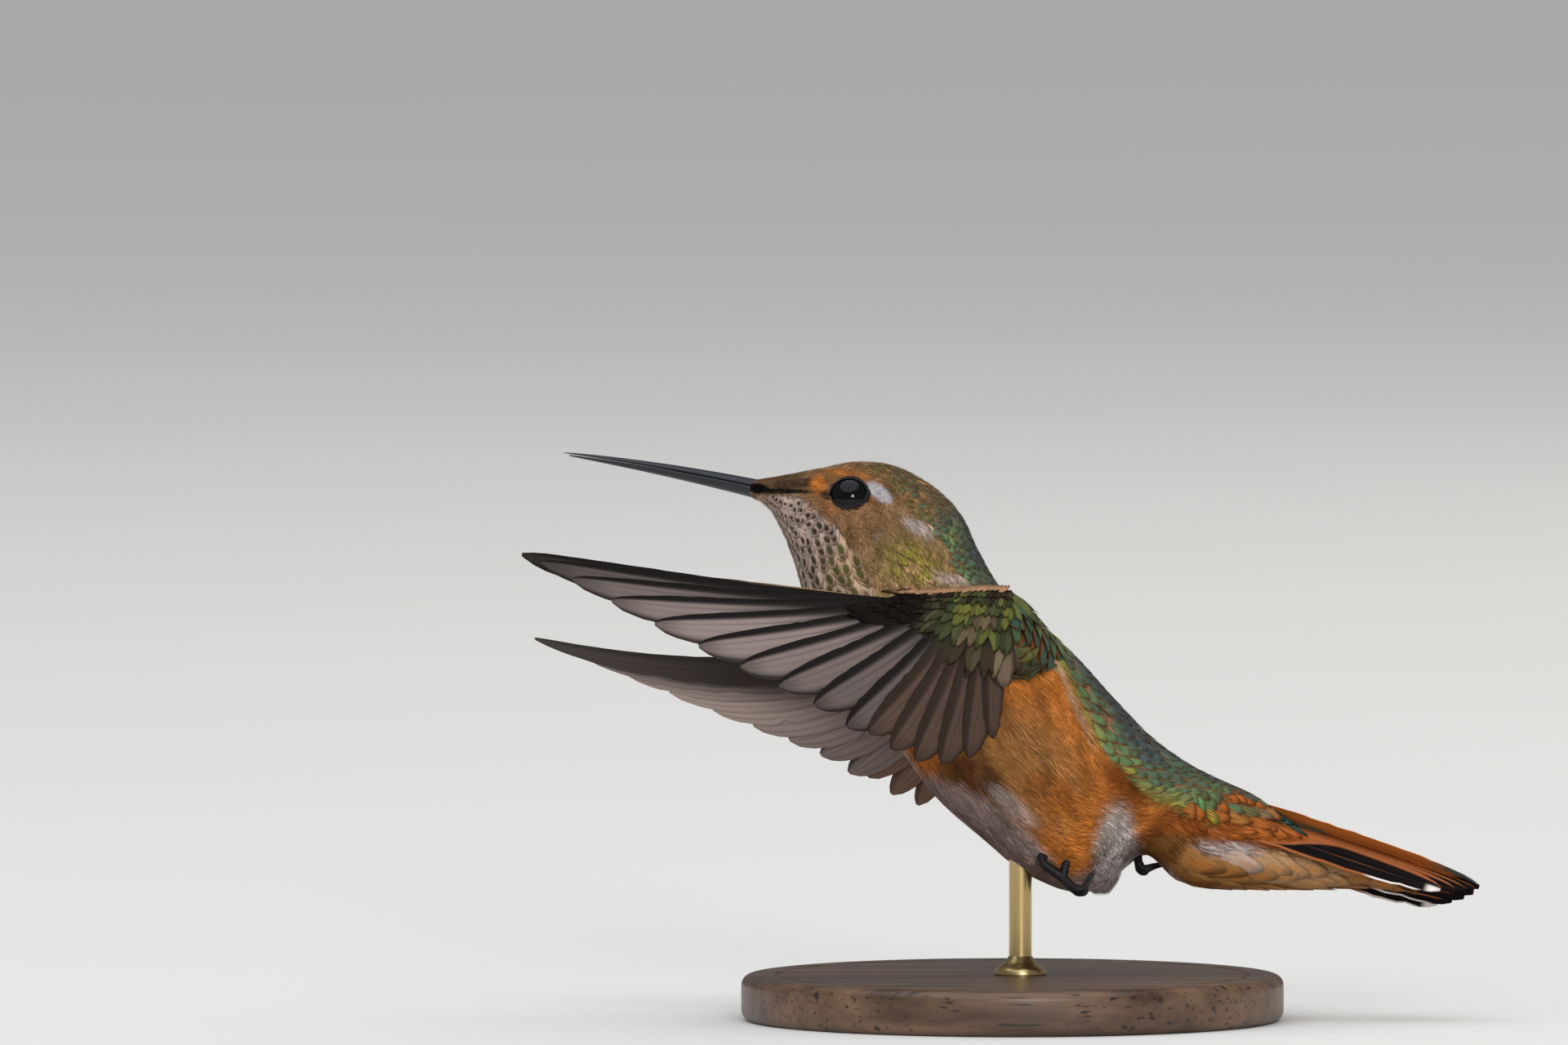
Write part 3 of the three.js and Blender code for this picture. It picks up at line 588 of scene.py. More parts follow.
# Marks on the face: middle, radii, lean and soft edge; how strong the mark is, or, below 0, how low a
# feather's own chance may be for it to carry the mark; and what is painted.
FACE_MARKS = (
    # round the eye, and the brow
    (((-14.5, 21.0), (3.0, 2.6), 0.05, 0.8), 0.85, ((0.29, 0.12, 0.045), (0.42, 0.19, 0.07), 0.5, 0.0, 0.9)),
    (((-14.3, 23.0), (2.2, 0.38), -0.22, 0.8), 0.85, (ORANGE, RUSTY)),
    # under the eye
    (((-13.4, 19.2), (2.6, 0.7), 0.1, 0.9), 0.7, (BROWN, TAWNY)),
    # lores: umber, with a rufous spot before the eye and a black line along the gape
    (((-19.2, 22.0), (3.0, 0.55), 0.12, 0.9), 1.0, (UMBER, (0.14, 0.075, 0.04), 0.5, 0.0, 0.9)),
    (((-17.0, 22.0), (0.7, 0.95), -0.2, 0.7), 0.9, (ORANGE, RUFOUS, 0.5, 0.0)),
    (((-20.6, 21.3), (3.4, 0.26), 0.0, 0.7), 1.0, (BLACK, SPOT, 1.2, 0.0)),
    (((-22.9, 21.7), (1.5, 0.5), -0.1, 0.5), 1.0, (BLACK, BLACK, 1.2, 0.0)),
    (((-16.3, 21.0), (0.6, 0.4), -0.3, 0.8), 0.9, (BLACK, UMBER, 1.2, 0.0)),
    # white spot behind the eye and a paler one over the ear
    (((-11.6, 21.35), (1.3, 0.62), -0.7, 0.6), 1.0, (FROST, WHITE, 0.5, 0.0, 1.0)),
    (((-8.2, 18.2), (1.5, 0.6), -0.55, 1.2), -0.8, (PALE, WHITE, 0.5, 0.0, 0.9)),
    # lime discs on the neck's side and a pale patch behind them
    (((-8.7, 14.9), (2.9, 1.7), -0.5, 1.0), -0.6, (LIME, OLIVE, 1.0, 0.25, 0.3)),
    (((-5.2, 13.6), (1.7, 0.5), -0.15, 0.8), 1.0, (PALE, BUFF, 0.4, 0.0, 0.7)),
)


def markings(station, turn, rng):
    """The coat's colours at points of the body: a feather's centre and edge, how large its centre is,
    how much it gleams, and how hair-like the coat is there."""
    n = len(station)
    around = np.abs((turn + math.pi) % (2 * math.pi) - math.pi)
    x, rise = side_view(station, turn)
    wobble = rng.normal(size=n)
    mottle = ripple(station, turn, 5, 1.6)
    centre, edge = rows_of(BROWN, n), rows_of(BUFF, n)
    disc, gleam, hair = np.full(n, 0.8), np.zeros(n), np.full(n, 0.5)

    def paint(amount, inner, outer, size=None, shine=None, wispy=None):
        nonlocal centre, edge, disc, gleam, hair
        amount = np.clip(amount, 0, 1)
        centre, edge = dye(centre, inner, amount), dye(edge, outer, amount)
        disc = disc if size is None else disc * (1 - amount) + size * amount
        gleam = gleam if shine is None else gleam * (1 - amount) + shine * amount
        hair = hair if wispy is None else hair * (1 - amount) + wispy * amount

    def place(centre_at, radii, lean=0.0, soft=0.5):
        return blob(x, rise, centre_at, radii, lean, soft)

    face = 1 - smooth(5.0, 6.4, station)
    fore = smooth(4.6, 6.2, station) * (1 - smooth(7.6, 9.4, station))
    flank = smooth(7.8, 9.4, station) * (1 - smooth(13.6, 14.6, station))
    stern = smooth(13.2, 14.2, station)

    # Cheeks: brown and buff streaks with olive among them.
    paint(face, (0.29, 0.145, 0.06), TAWNY, 0.5, 0.0, 0.9)
    paint(face * smooth(0.1, 0.9, mottle) * 0.7, OLIVE, BROWN, 0.6, 0.12)
    paint(face * smooth(0.3, 1.2, ripple(station, turn, 8, 3.5)) * 0.5, DUSK, BROWN)
    paint(face * smooth(0.2, 1.0, -mottle) * 0.8, TAWNY, BUFF)
    paint(face * smooth(0.9, 1.7, ripple(station, turn, 12, 2.6)) * 0.7, PALE, BUFF)
    # Neck's side and breast.
    paint(fore, (0.28, 0.2, 0.075), TAWNY, 0.5, 0.12, 0.7)
    paint(fore * smooth(1.9, 2.5, around), PALE, WHITE, 0.5, 0.0, 0.7)
    # Flanks: rufous and hair-like, golden brown with dark flecks in the middle, deepest to the rear.
    paint(flank, ORANGE, (0.68, 0.22, 0.04), 0.6, 0.0, 1.0)
    paint(flank * place((0.6, -3.0), (5.6, 4.6), -0.7, 1.0) * 0.7, GOLD, (0.42, 0.24, 0.1))
    paint(flank * place((2.4, -2.2), (4.2, 2.4), -0.6, 1.0) * smooth(0.1, 1.0, mottle) * 0.55, GOLD, DUSK)
    dark, deep = (place(spot, radii, -0.6, 1.0) for spot, radii in (
        ((-3.6, -4.3), (3.4, 2.2)), ((3.6, -5.4), (2.8, 1.6))))
    paint(flank * dark * 0.85, (0.09, 0.034, 0.016), (0.12, 0.05, 0.022))
    paint(flank * deep * 0.65, (0.55, 0.16, 0.022), (0.42, 0.12, 0.02))
    paint(flank * smooth(0.3, 1.4, ripple(station, turn, 8, 3.5)) * 0.35, RUSTY, BROWN)
    paint(flank * place((7.4, 1.3), (0.5, 3.2), 0.55, 0.9) * 0.5, TAWNY, BUFF)
    paint(flank * smooth(0.6, 1.6, -mottle) * 0.3, GOLD, TAWNY)
    paint(place((-0.2, -6.4), (2.6, 0.8), -0.7, 0.9) * 0.7, PALE, WHITE)
    # Rump, sides of the tail's base and upper tail coverts: rufous.
    paint(stern, (0.44, 0.125, 0.022), BRICK, 0.8, 0.0, 0.75)
    paint(stern * smooth(0.3, 1.2, mottle) * 0.5, CHESTNUT, BRICK)
    # A dark chestnut patch low on the rump: partly its own colour, partly painted shade, darkened against
    # the light it gets from above.
    paint(place((9.8, -4.6), (1.5, 2.8), 0.3, 0.9) * 0.9, (0.27, 0.072, 0.014), (0.22, 0.064, 0.014))
    # Belly: greyish white with a lilac cast.
    belly = smooth(-0.5, 0.5, line_at(x, BELLY_EDGE) - rise + 0.3 * wobble)
    belly = belly * (1 - smooth(13.0, 14.0, station))
    paint(belly * smooth(6.5, 8.0, station), LILAC, (0.45, 0.34, 0.31), 0.5, 0.0, 0.95)
    # Under tail coverts: ochre, with a whitish patch.
    under = smooth(-0.4, 0.4, line_at(x, UNDER_EDGE) - rise + 0.15 * wobble) * smooth(13.6, 14.0, station)
    paint(under, OCHRE, (0.27, 0.125, 0.04), 0.5, 0.0, 0.45)
    paint(under * place((19.2, -10.4), (3.0, 1.3), -0.12, 0.8) * 0.85, PALE, WHITE, 0.5)
    paint(under * place((25.5, -12.2), (4.5, 1.3), -0.15, 0.9) * 0.3, TAWNY, BUFF, 0.5)
    # White down at the vent and thighs.
    vent = place((8.7, -10.6), (1.9, 4.3), -0.12, 0.6) + 0.8 * place((7.0, -13.6), (3.2, 1.6), 0.3, 0.8)
    paint(vent * smooth(10.6, 11.2, station), DOWN, WHITE, 0.5, 0.0, 1.0)
    paint(place((12.0, -13.2), (2.4, 1.3), 0.0, 0.8), DOWN, WHITE, 0.5, 0.0, 0.9)

    # Crown, nape and back: green discs fringed with rufous, some teal, and along the back's ridge slate, a
    # painted reflection of the sky.
    above = rise - line_at(x, GREEN_EDGE) + 2.5 * np.exp(-((x + 3.0) / 2.2) ** 2)
    paint(stern * smooth(-2.0, -0.5, above), BRICK, (0.22, 0.065, 0.018), wispy=0.35)
    green = smooth(-0.35, 0.35, above + 0.22 * wobble) * (1 - smooth(16.6, 17.3, station))
    sparse = smooth(14.0, 15.6, station)
    green = green * (rng.random(n) > 0.6 * sparse)
    crown = green * (1 - smooth(5.0, 6.2, station))
    back = green * smooth(4.4, 6.0, station)
    paint(back, GREEN, RUST_FRINGE, 0.9, 0.3, 0.2)
    # Slate along the ridge of the back, where it faces up: painted reflection of the sky on the gleaming
    # feathers.
    ridge = 1 - smooth(0.35, 0.95, around + 0.14 * wobble + 0.2 * mottle)
    paint(back * ridge * 0.9, SLATE, (0.13, 0.085, 0.06), 0.95, 0.28)
    paint(back * (1 - ridge) * (wobble > 0.25) * 0.8, TEAL, RUST_FRINGE, 0.92, 0.3)
    # Bright emerald on a random few of the back's feathers: painted highlights.
    paint(back * (1 - ridge) * (wobble < -1.0) * 0.8, (0.12, 0.32, 0.11), RUST_FRINGE, 0.92, 0.35)
    # Lime along the lower edge of the green back: painted highlights.
    lime_highlight = (1 - smooth(0.8, 2.1, above)) * smooth(8.2, 9.2, station)
    paint(back * lime_highlight * smooth(-0.8, 0.0, wobble) * 0.9, LIME, (0.14, 0.16, 0.05), 0.95, 0.25)
    band = smooth(-2.1, -1.3, above + 0.2 * wobble) * (1 - smooth(-0.6, -0.2, above))
    band = band * smooth(0.0, 1.5, x) * (1 - smooth(6.0, 8.0, x))
    paint(flank * band, (0.56, 0.33, 0.17), (0.6, 0.4, 0.24))
    paint(crown, OLIVE, RUSTY, 0.9, 0.18, 0.26)
    paint(crown * (wobble > 0.2) * 0.8, (0.06, 0.11, 0.045), RUSTY, 0.95, 0.2)
    upper = smooth(0.6, 1.6, above + 0.3 * wobble)
    paint(crown * upper * 0.7, (0.045, 0.08, 0.06), (0.24, 0.11, 0.05), 0.92, 0.2)
    paint(crown * (wobble < -0.7) * 0.8, RUSTY, TAWNY)
    paint(crown * (1 - smooth(0.9, 2.6, station)), (0.1, 0.06, 0.04), (0.2, 0.11, 0.055), 0.5, 0.0, 0.9)
    paint(stern * place((24.7, -7.7), (1.7, 0.42), -0.59, 0.4), TEAL, BLACK, 0.8, 0.2)

    # Throat: pale, each feather with a dark oval near its end, greener to the rear.
    throat = smooth(-0.25, 0.25, line_at(x, THROAT_EDGE) - rise) * (1 - smooth(5.8, 6.6, station))
    paint(throat, SPOT, (0.31, 0.232, 0.195), 0.42 + 0.14 * smooth(1.5, 4.5, station), 0.03, 0.12)
    paint(throat * place((-13.6, 14.6), (2.6, 3.4), -0.9, 1.0) * 0.5, OLIVE, TAWNY, 0.7, 0.12)
    paint(throat * (1 - smooth(0.4, 1.2, station)) * 0.5, TAWNY, TAWNY)

    # The face.
    side = smooth(0.5, 0.8, around)
    for (middle, radii, lean, soft), part, colours in FACE_MARKS:
        amount = side * place(middle, radii, lean, soft)
        paint(amount * (part if part > 0 else wobble > part), *colours)
    shade = 1 + 0.12 * rng.normal(size=(n, 1))
    return np.clip(centre * shade, 0, 1), np.clip(edge * shade, 0, 1), disc, gleam, hair


# ---------------------------------------------------------------- where the coat's feathers grow

# Distance between neighbouring feathers at each station, in millimetres.
FINE_PITCH = (
    0.3, 0.36, 0.43, 0.5, 0.56, 0.63, 0.74, 0.88, 1.0, 1.08, 1.12, 1.15, 1.18, 1.2, 1.25, 1.35, 1.5, 1.7,
    1.7,
)
THROAT_PITCH = (0.5, 0.66, 0.84, 0.98, 1.1, 1.18, 1.25, 1.3)
UNDER_TAIL_PITCH = (2.3,) * len(FINE_PITCH)


def clear_of_eyes(points, reach):
    """True where a point is outside the lids, reach being how far their opening is widened."""
    keep = np.ones(len(points), bool)
    for _, side in SIDES:
        centre, axis, one, two = eye_frame(side)
        away = points - centre
        level = np.sqrt((np.sum(away * one, -1) / (EYE["opening"][0] + reach)) ** 2
                        + (np.sum(away * two, -1) / (EYE["opening"][1] + reach)) ** 2)
        keep &= ~((level < 1) & (np.sum(away * axis, -1) > 0))
    return keep


def eye_frame(side):
    """Middle of the eyeball, the way it looks, and the long and the short way across its opening."""
    centre = np.array(EYE["centre"]) * (1, side, 1)
    axis = unit(np.array(EYE["axis"]) * (1, side, 1))
    tilt = EYE["slant"]
    long_way = np.array([math.cos(tilt), 0, math.sin(tilt)])
    long_way = unit(long_way - axis * np.dot(long_way, axis))
    return centre, axis, long_way, np.cross(long_way, axis) * side


def shell_tree(where, rows=24, columns=24, first=0.0, last=1.0):
    """A search tree over a closed tube whose faces point outwards."""
    points = tube_points(where(*ring_grid(first, last, rows, columns)))
    faces = grid_faces(rows, columns)
    if inside_out(points, faces):
        faces = [tuple(reversed(f)) for f in faces]
    return BVHTree.FromPolygons([Vector(p) for p in points], faces)


def outside(points, trees, depth=0.0):
    """True where a point lies in none of the shells by more than depth."""
    keep = np.ones(len(points), bool)
    for i, point in enumerate(points):
        spot = Vector(point)
        for tree in trees:
            near, normal, _, distance = tree.find_nearest(spot)
            if near is not None and (spot - near).dot(normal) < 0 and distance > depth:
                keep[i] = False
    return keep


arm_trees = [shell_tree(arm_surface(side, -LIMB_COAT)) for _, side in SIDES]
body_tree = shell_tree(lambda s, q: body_point(s, q, -COAT), 60, 40, 0, LAST)


def ring_of_roots(where, station, pitch, row, steps=64):
    """Roots a pitch apart round one ring of a tube; every other row starts half a place on."""
    ring = where(np.full(steps, station), turns(steps))
    girth = np.linalg.norm(ring - np.roll(ring, 1, axis=0), axis=-1).sum()
    count = max(int(girth / pitch), 6)
    return np.stack([np.full(count, station), turns(count, 0.5 * (row % 2)), np.full(count, pitch)], -1)


def body_rows(first, last, pitches, rng, tight=0.78, stray=1.0):
    """Roots in staggered rows round the body: station, turn and the pitch there."""
    found = []
    station, row = first, 0
    while station < last:
        pitch = float(np.interp(station, np.arange(len(pitches)), pitches))
        found.append(ring_of_roots(skin_surface.where, station, pitch, row))
        _, along, _, _ = skin_surface.frame(np.full(8, station), turns(8))
        station += pitch * tight / float(np.linalg.norm(along, axis=-1).mean())
        row += 1
    spots = np.concatenate(found)
    spots[:, :2] += rng.normal(size=(len(spots), 2)) * (0.015, 0.01) * stray
    return spots


def body_aim(station, turn):
    """The way the coat lies: back along the body, drooping a little on the cheeks."""
    _, along, across, _ = skin_surface.frame(station, turn)
    fold = np.sin(turn)
    droop = 0.25 * np.exp(-((station - 4.2) / 1.6) ** 2) * np.sign(fold) * np.abs(fold) ** 0.6
    droop += 0.16 * ripple(station, turn, 9, 1.5) * smooth(1.0, 3.0, station)
    droop += 1.2 * blob(*side_view(station, turn), (8.4, -11.4), (2.6, 4.6), -0.12, 1.0) * np.sign(fold)
    return unit(along) + unit(across) * droop[:, None]


def ahead(surface, p, q, aim, distance):
    """Where a point gets to on the surface by going distance the way of aim."""
    _, along, across, normal = surface.frame(p, q)
    move = unit(aim - np.sum(aim * normal, -1, keepdims=True) * normal) * distance[:, None]
    dp, dq = surface_step(along, across, move)
    return p + dp, q + dq


def below_line(station, turn, line, first, last):
    """True under one of the lines on the side, between two stations, with a ragged edge."""
    x, rise = side_view(station, turn)
    ragged = 0.3 * ripple(station, turn, 31, 4.0)
    return (rise < line_at(x, line) + ragged) & (station > first) & (station < last)


def shortened_at_eyes(station, turn, aim, length):
    """Feathers in front of an eye end short of it; those that would still lie over it come out as False."""

    def tip_clear(reach):
        return clear_of_eyes(skin_surface.where(*ahead(skin_surface, station, turn, aim, reach)), 0.06)

    length = np.where(tip_clear(length), length, 0.45 * length)
    return length, tip_clear(length)


def contour_coat():
    """The rows of small feathers over the body, in one piece for each stretch of it."""
    rng = np.random.default_rng(7)
    throat = (THROAT_EDGE, -1.0, 6.2)
    under_tail = (UNDER_EDGE, 13.9, 18.0)
    fine = body_rows(-0.3, 17.7, FINE_PITCH, rng)
    spotted = body_rows(0.1, 6.6, THROAT_PITCH, rng, 0.82, 0.5)
    broad = body_rows(13.5, 17.6, UNDER_TAIL_PITCH, rng, 0.72)
    fine = fine[~below_line(*fine[:, :2].T, *throat) & ~below_line(*fine[:, :2].T, *under_tail)]
    spotted = spotted[below_line(*spotted[:, :2].T, *throat)]
    broad = broad[below_line(*broad[:, :2].T, *under_tail)]
    station, turn, pitch = np.concatenate([fine, spotted, broad]).T
    kind = np.repeat([0, 1, 2], [len(fine), len(spotted), len(broad)])
    points = skin_surface.where(station, turn)
    keep = clear_of_eyes(points, 0.12) & outside(points, arm_trees, 0.9)
    station, turn, pitch, kind = station[keep], turn[keep], pitch[keep], kind[keep]
    n = len(station)
    aim = body_aim(station, turn) + 0.05 * rng.normal(size=(n, 3))
    *_, hair = markings(station, turn, rng)
    hair = hair * (kind == 0)
    length = pitch * (2.15 + 0.45 * hair) * (1 + 0.07 * rng.normal(size=n))
    length, keep = shortened_at_eyes(station, turn, aim, length)
    seen = ahead(skin_surface, station, turn, aim, 0.78 * length)
    centre, edge, disc, gleam, _ = markings(*seen, rng)
    calm = 0.5 * hair[:, None]
    centre, edge = centre + (edge - centre) * calm, edge + (centre - edge) * calm
    stub = smooth(-0.4, 1.6, station)
    roots = feathers(
        station, turn, aim=aim, length=length, half=pitch * (0.69 - 0.15 * hair), low=0.03,
        high=(0.09 + 0.06 * stub + 0.07 * pitch) * (1 - 0.4 * hair - 0.2 * (kind == 1)), dome=0.07,
        fray=0.02 + 0.06 * hair, sway=0.05 * rng.normal(size=n), centre=centre, edge=edge, disc=disc,
        gleam=gleam)
    for name, low, high in (("coat_head", -1, 3.4), ("coat_nape", 3.4, 6.4), ("coat_neck", 6.4, 9.4),
                            ("coat_trunk", 9.4, 13.6), ("coat_rump", 13.6, 19)):
        pick = keep & (station >= low) & (station < high)
        heap = Heap()
        lay(heap, skin_surface, {k: v[pick] for k, v in roots.items()}, leaf_grid(4, 6), rng)
        heap.piece(name, materials["plumage"], "bronze_plumage" if high < 10 else "rufous_plumage")


# Each stretch of fine barbs: stations, how many, length and half width in millimetres.
BARB_STRETCHES = (
    ("barbs_face", (0.0, 2.6), 14000, (0.4, 0.7), 0.0208),
    ("barbs_cheek", (2.6, 4.2), 14000, (0.45, 0.8), 0.0221),
    ("barbs_ear", (4.2, 5.6), 10000, (0.55, 0.95), 0.0247),
    ("barbs_nape", (5.6, 7.6), 8000, (0.8, 1.3), 0.0299),
    ("barbs_neck", (7.6, 9.2), 8000, (1.1, 1.8), 0.0338),
    ("barbs_breast", (9.2, 10.5), 14000, (1.4, 2.3), 0.0338),
    ("barbs_side", (10.5, 11.7), 14000, (1.4, 2.4), 0.0338),
    ("barbs_flank", (11.7, 12.9), 14000, (1.4, 2.4), 0.0338),
    ("barbs_vent", (12.9, 14.4), 10000, (1.3, 2.3), 0.0351),
    ("barbs_rump", (14.4, 17.2), 7000, (1.2, 2.2), 0.0364),
)
FLECKS = 0.012                   # share of the barbs that are dark


def barb_coat():
    """Fine loose barbs over the feathers, thick where the coat is hair-like."""
    rng = np.random.default_rng(11)
    for name, span, count, lengths, half in BARB_STRETCHES:
        station = rng.uniform(*span, count * 3)
        turn = rng.uniform(-math.pi, math.pi, count * 3)
        aim = body_aim(station, turn)
        length, keep = shortened_at_eyes(station, turn, aim, rng.uniform(*lengths, len(station)))
        seen = ahead(skin_surface, station, turn, aim, 0.6 * length)
        centre, edge, _, gleam, hair = markings(*seen, rng)
        keep &= rng.random(len(station)) < hair * hair
        keep &= clear_of_eyes(skin_surface.where(station, turn), 0.2)
        pick = np.flatnonzero(keep)[:count]
        pick = pick[outside(skin_surface.where(station[pick], turn[pick]), arm_trees, 0.1)]
        station, turn, aim, length, hair = (v[pick] for v in (station, turn, aim, length, hair))
        n = len(pick)
        strand = rng.random(n)[:, None]
        lock = 1 + 0.2 * ripple(0.6 * station, turn, 21, 5.0)[:, None]
        shade = 1 + 0.06 * rng.normal(size=(n, 1))
        colour = (centre[pick] * strand + edge[pick] * (1 - strand)) * lock * shade
        middle = blob(*side_view(station, turn), (1.6, -1.6), (4.6, 3.2), -0.6, 1.0)
        clumped = smooth(0.4, 0.9, ripple(station, turn, 22, 9.0))
        dark = rng.random(n) < FLECKS * (station > 9) + 0.3 * middle * clumped
        colour = np.clip(colour * np.where(dark, 0.45, 1.0)[:, None], 0, 1)
        roots = feathers(
            station, turn, aim=aim + 0.05 * rng.normal(size=(n, 3)), length=length, half=half,
            low=0.12 + 0.07 * rng.random(n), high=0.2 + 0.09 * rng.random(n) + 0.03 * hair, dome=0.3,
            fray=0.0, sway=0.1 * rng.normal(size=n), centre=colour, edge=colour, disc=0.0,
            gleam=0.4 * gleam[pick])
        heap = Heap()
        lay(heap, skin_surface, roots, strand_grid(2), rng)
        heap.piece(name, materials["plumage"], "bronze_plumage" if span[1] < 9 else "rufous_plumage")


# ---------------------------------------------------------------- skin


def make_skin():
    """One skin under the whole coat: the body with its arms and thighs."""
    rng = np.random.default_rng(3)
    heap = Heap()
    p, q = ring_grid(0, LAST, 150, 72)
    rings = skin_surface.where(p, q)
    for _, side in SIDES:
        rings = sunk_round_eye(rings, side)
    centre, edge, *_ = markings(p.ravel(), q.ravel(), rng)
    tone = (0.5 * centre + 0.5 * edge) * 0.85
    tone = np.vstack([tone, tone[:1], tone[-1:]])
    add_tube(heap, rings, tone)
    for _, side in SIDES:
        left = 0.02 if side < 0 else 0.52
        for limb, colour, low in ((arm_surface, DUSK, 0.02), (puff_surface, PALE, 0.52)):
            rings = limb(side, -LIMB_COAT)(*ring_grid(0, 1, 30, 28))
            add_tube(heap, rings, colour, (left, left + 0.4, low, low + 0.4))
    heap.piece("skin", materials["skin"], "rufous_plumage", (
        "head", "neck", "trunk", "rump", "wing_left_arm", "wing_right_arm", "leg_left", "leg_right"))


SOCKET = {"radii": (1.5, 2.7), "depth": 1.1}


def sunk_round_eye(rings, side):
    """Draws the skin in round the eye, so that it sits in a shallow socket."""
    centre, axis, _, _ = eye_frame(side)
    away = rings - centre
    depth = np.sum(away * axis, -1, keepdims=True)
    flat = np.linalg.norm(away - depth * axis, axis=-1, keepdims=True)
    sink = (1 - smooth(*SOCKET["radii"], flat)) * (depth > 0) * SOCKET["depth"]
    return rings - axis * sink


# ---------------------------------------------------------------- eyes and bill

# The lid's section: how far out from the opening's edge, and how high off the eyeball.
LID_SECTION = (
    (0.02, -0.1), (-0.03, -0.02), (-0.03, 0.04), (0.01, 0.08), (0.06, 0.09), (0.1, 0.07), (0.13, 0.03),
    (0.16, 0.035), (0.2, 0.0), (0.23, -0.1), (0.2, -0.35), (0.06, -0.35),
)
LID_BEADS = {"count": 54, "radius": 0.06, "uneven": 0.25, "out": 0.07, "high": 0.085, "seed": 4, "path": 120}
EYE_PLAY = 0.05                  # how much smaller the eyeball is than the room for it


def rim_points(side, turn, out, high):
    """Points round the eye's opening: out from its edge and high off the eyeball."""
    centre, axis, one, two = eye_frame(side)
    wide = (EYE["opening"][0] + out) * np.cos(turn)
    tall = (EYE["opening"][1] + out) * np.sin(turn)
    level = np.sqrt(np.maximum((EYE["radius"] + high) ** 2 - wide ** 2 - tall ** 2, 0.02))
    return centre + axis * level[..., None] + one * wide[..., None] + two * tall[..., None]


def lid_corner(turn):
    """How much further the lid reaches at the eye's front corner."""
    return 0.2 * np.exp(-((turn - math.pi - 0.12) / 0.2) ** 2)


def bead_tree():
    """A Geometry Nodes tree that sets round beads, a little uneven, along a closed path."""
    tree = bpy.data.node_groups.new("beads_on_path", "GeometryNodeTree")
    for label, kind in (("Path", "Geometry"), ("Beads", "Int"), ("Radius", "Float"), ("Uneven", "Float"),
                        ("Seed", "Int"), ("Finish", "Material")):
        tree.interface.new_socket(label, in_out="INPUT", socket_type="NodeSocket" + kind)
    tree.interface.new_socket("Beads", in_out="OUTPUT", socket_type="NodeSocketGeometry")
    given, result, path, spaced, bead, chance, smallest, strewn, realized, finish = (
        tree.nodes.new(kind) for kind in (
            "NodeGroupInput", "NodeGroupOutput", "GeometryNodeMeshToCurve", "GeometryNodeResampleCurve",
            "GeometryNodeMeshIcoSphere", "FunctionNodeRandomValue", "ShaderNodeMath",
            "GeometryNodeInstanceOnPoints", "GeometryNodeRealizeInstances", "GeometryNodeSetMaterial"))
    bead.inputs["Subdivisions"].default_value = 2
    smallest.operation = "SUBTRACT"
    smallest.inputs[0].default_value = 1.0
    low, high = (s for s in chance.inputs if s.type == "VALUE" and s.name in ("Min", "Max"))
    high.default_value = 1.0
    scale = next(s for s in chance.outputs if s.type == "VALUE")
    for source, target in (
            (given.outputs["Path"], path.inputs["Mesh"]), (path.outputs["Curve"], spaced.inputs["Curve"]),
            (given.outputs["Beads"], spaced.inputs["Count"]),
            (given.outputs["Radius"], bead.inputs["Radius"]),
            (given.outputs["Uneven"], smallest.inputs[1]), (smallest.outputs[0], low),
            (given.outputs["Seed"], chance.inputs["Seed"]), (scale, strewn.inputs["Scale"]),
            (spaced.outputs["Curve"], strewn.inputs["Points"]),
            (bead.outputs["Mesh"], strewn.inputs["Instance"]),
            (strewn.outputs[0], realized.inputs[0]), (realized.outputs[0], finish.inputs["Geometry"]),
            (given.outputs["Finish"], finish.inputs["Material"]), (finish.outputs[0], result.inputs[0])):
        tree.links.new(source, target)
    return tree


def make_lid_beads(name, side, tree):
    """The fine beads on the eyelid's rim."""
    steps = LID_BEADS["path"]
    turn = turns(steps)
    points = to_world(rim_points(side, turn, LID_BEADS["out"] + lid_corner(turn), LID_BEADS["high"]))
    path = bpy.data.meshes.new("lid_path")
    path.from_pydata([tuple(point) for point in points], [(i, (i + 1) % steps) for i in range(steps)], [])
    thing = bpy.data.objects.new("lid_path", path)
    bpy.context.scene.collection.objects.link(thing)
    beads = thing.modifiers.new("beads", "NODES")
    beads.node_group = tree
    sockets = {item.name: item.identifier for item in tree.interface.items_tree if item.in_out == "INPUT"}
    for label, value in (("Beads", LID_BEADS["count"]), ("Radius", LID_BEADS["radius"] * MM),
                         ("Uneven", LID_BEADS["uneven"]), ("Seed", LID_BEADS["seed"]),
                         ("Finish", materials["horn"])):
        beads[sockets[label]] = value
    mesh = bpy.data.meshes.new_from_object(thing.evaluated_get(bpy.context.evaluated_depsgraph_get()))
    bpy.data.objects.remove(thing)
    mesh.polygons.foreach_set("use_smooth", np.ones(len(mesh.polygons), bool))
    settle("eye_beads_" + name, mesh, materials["horn"])


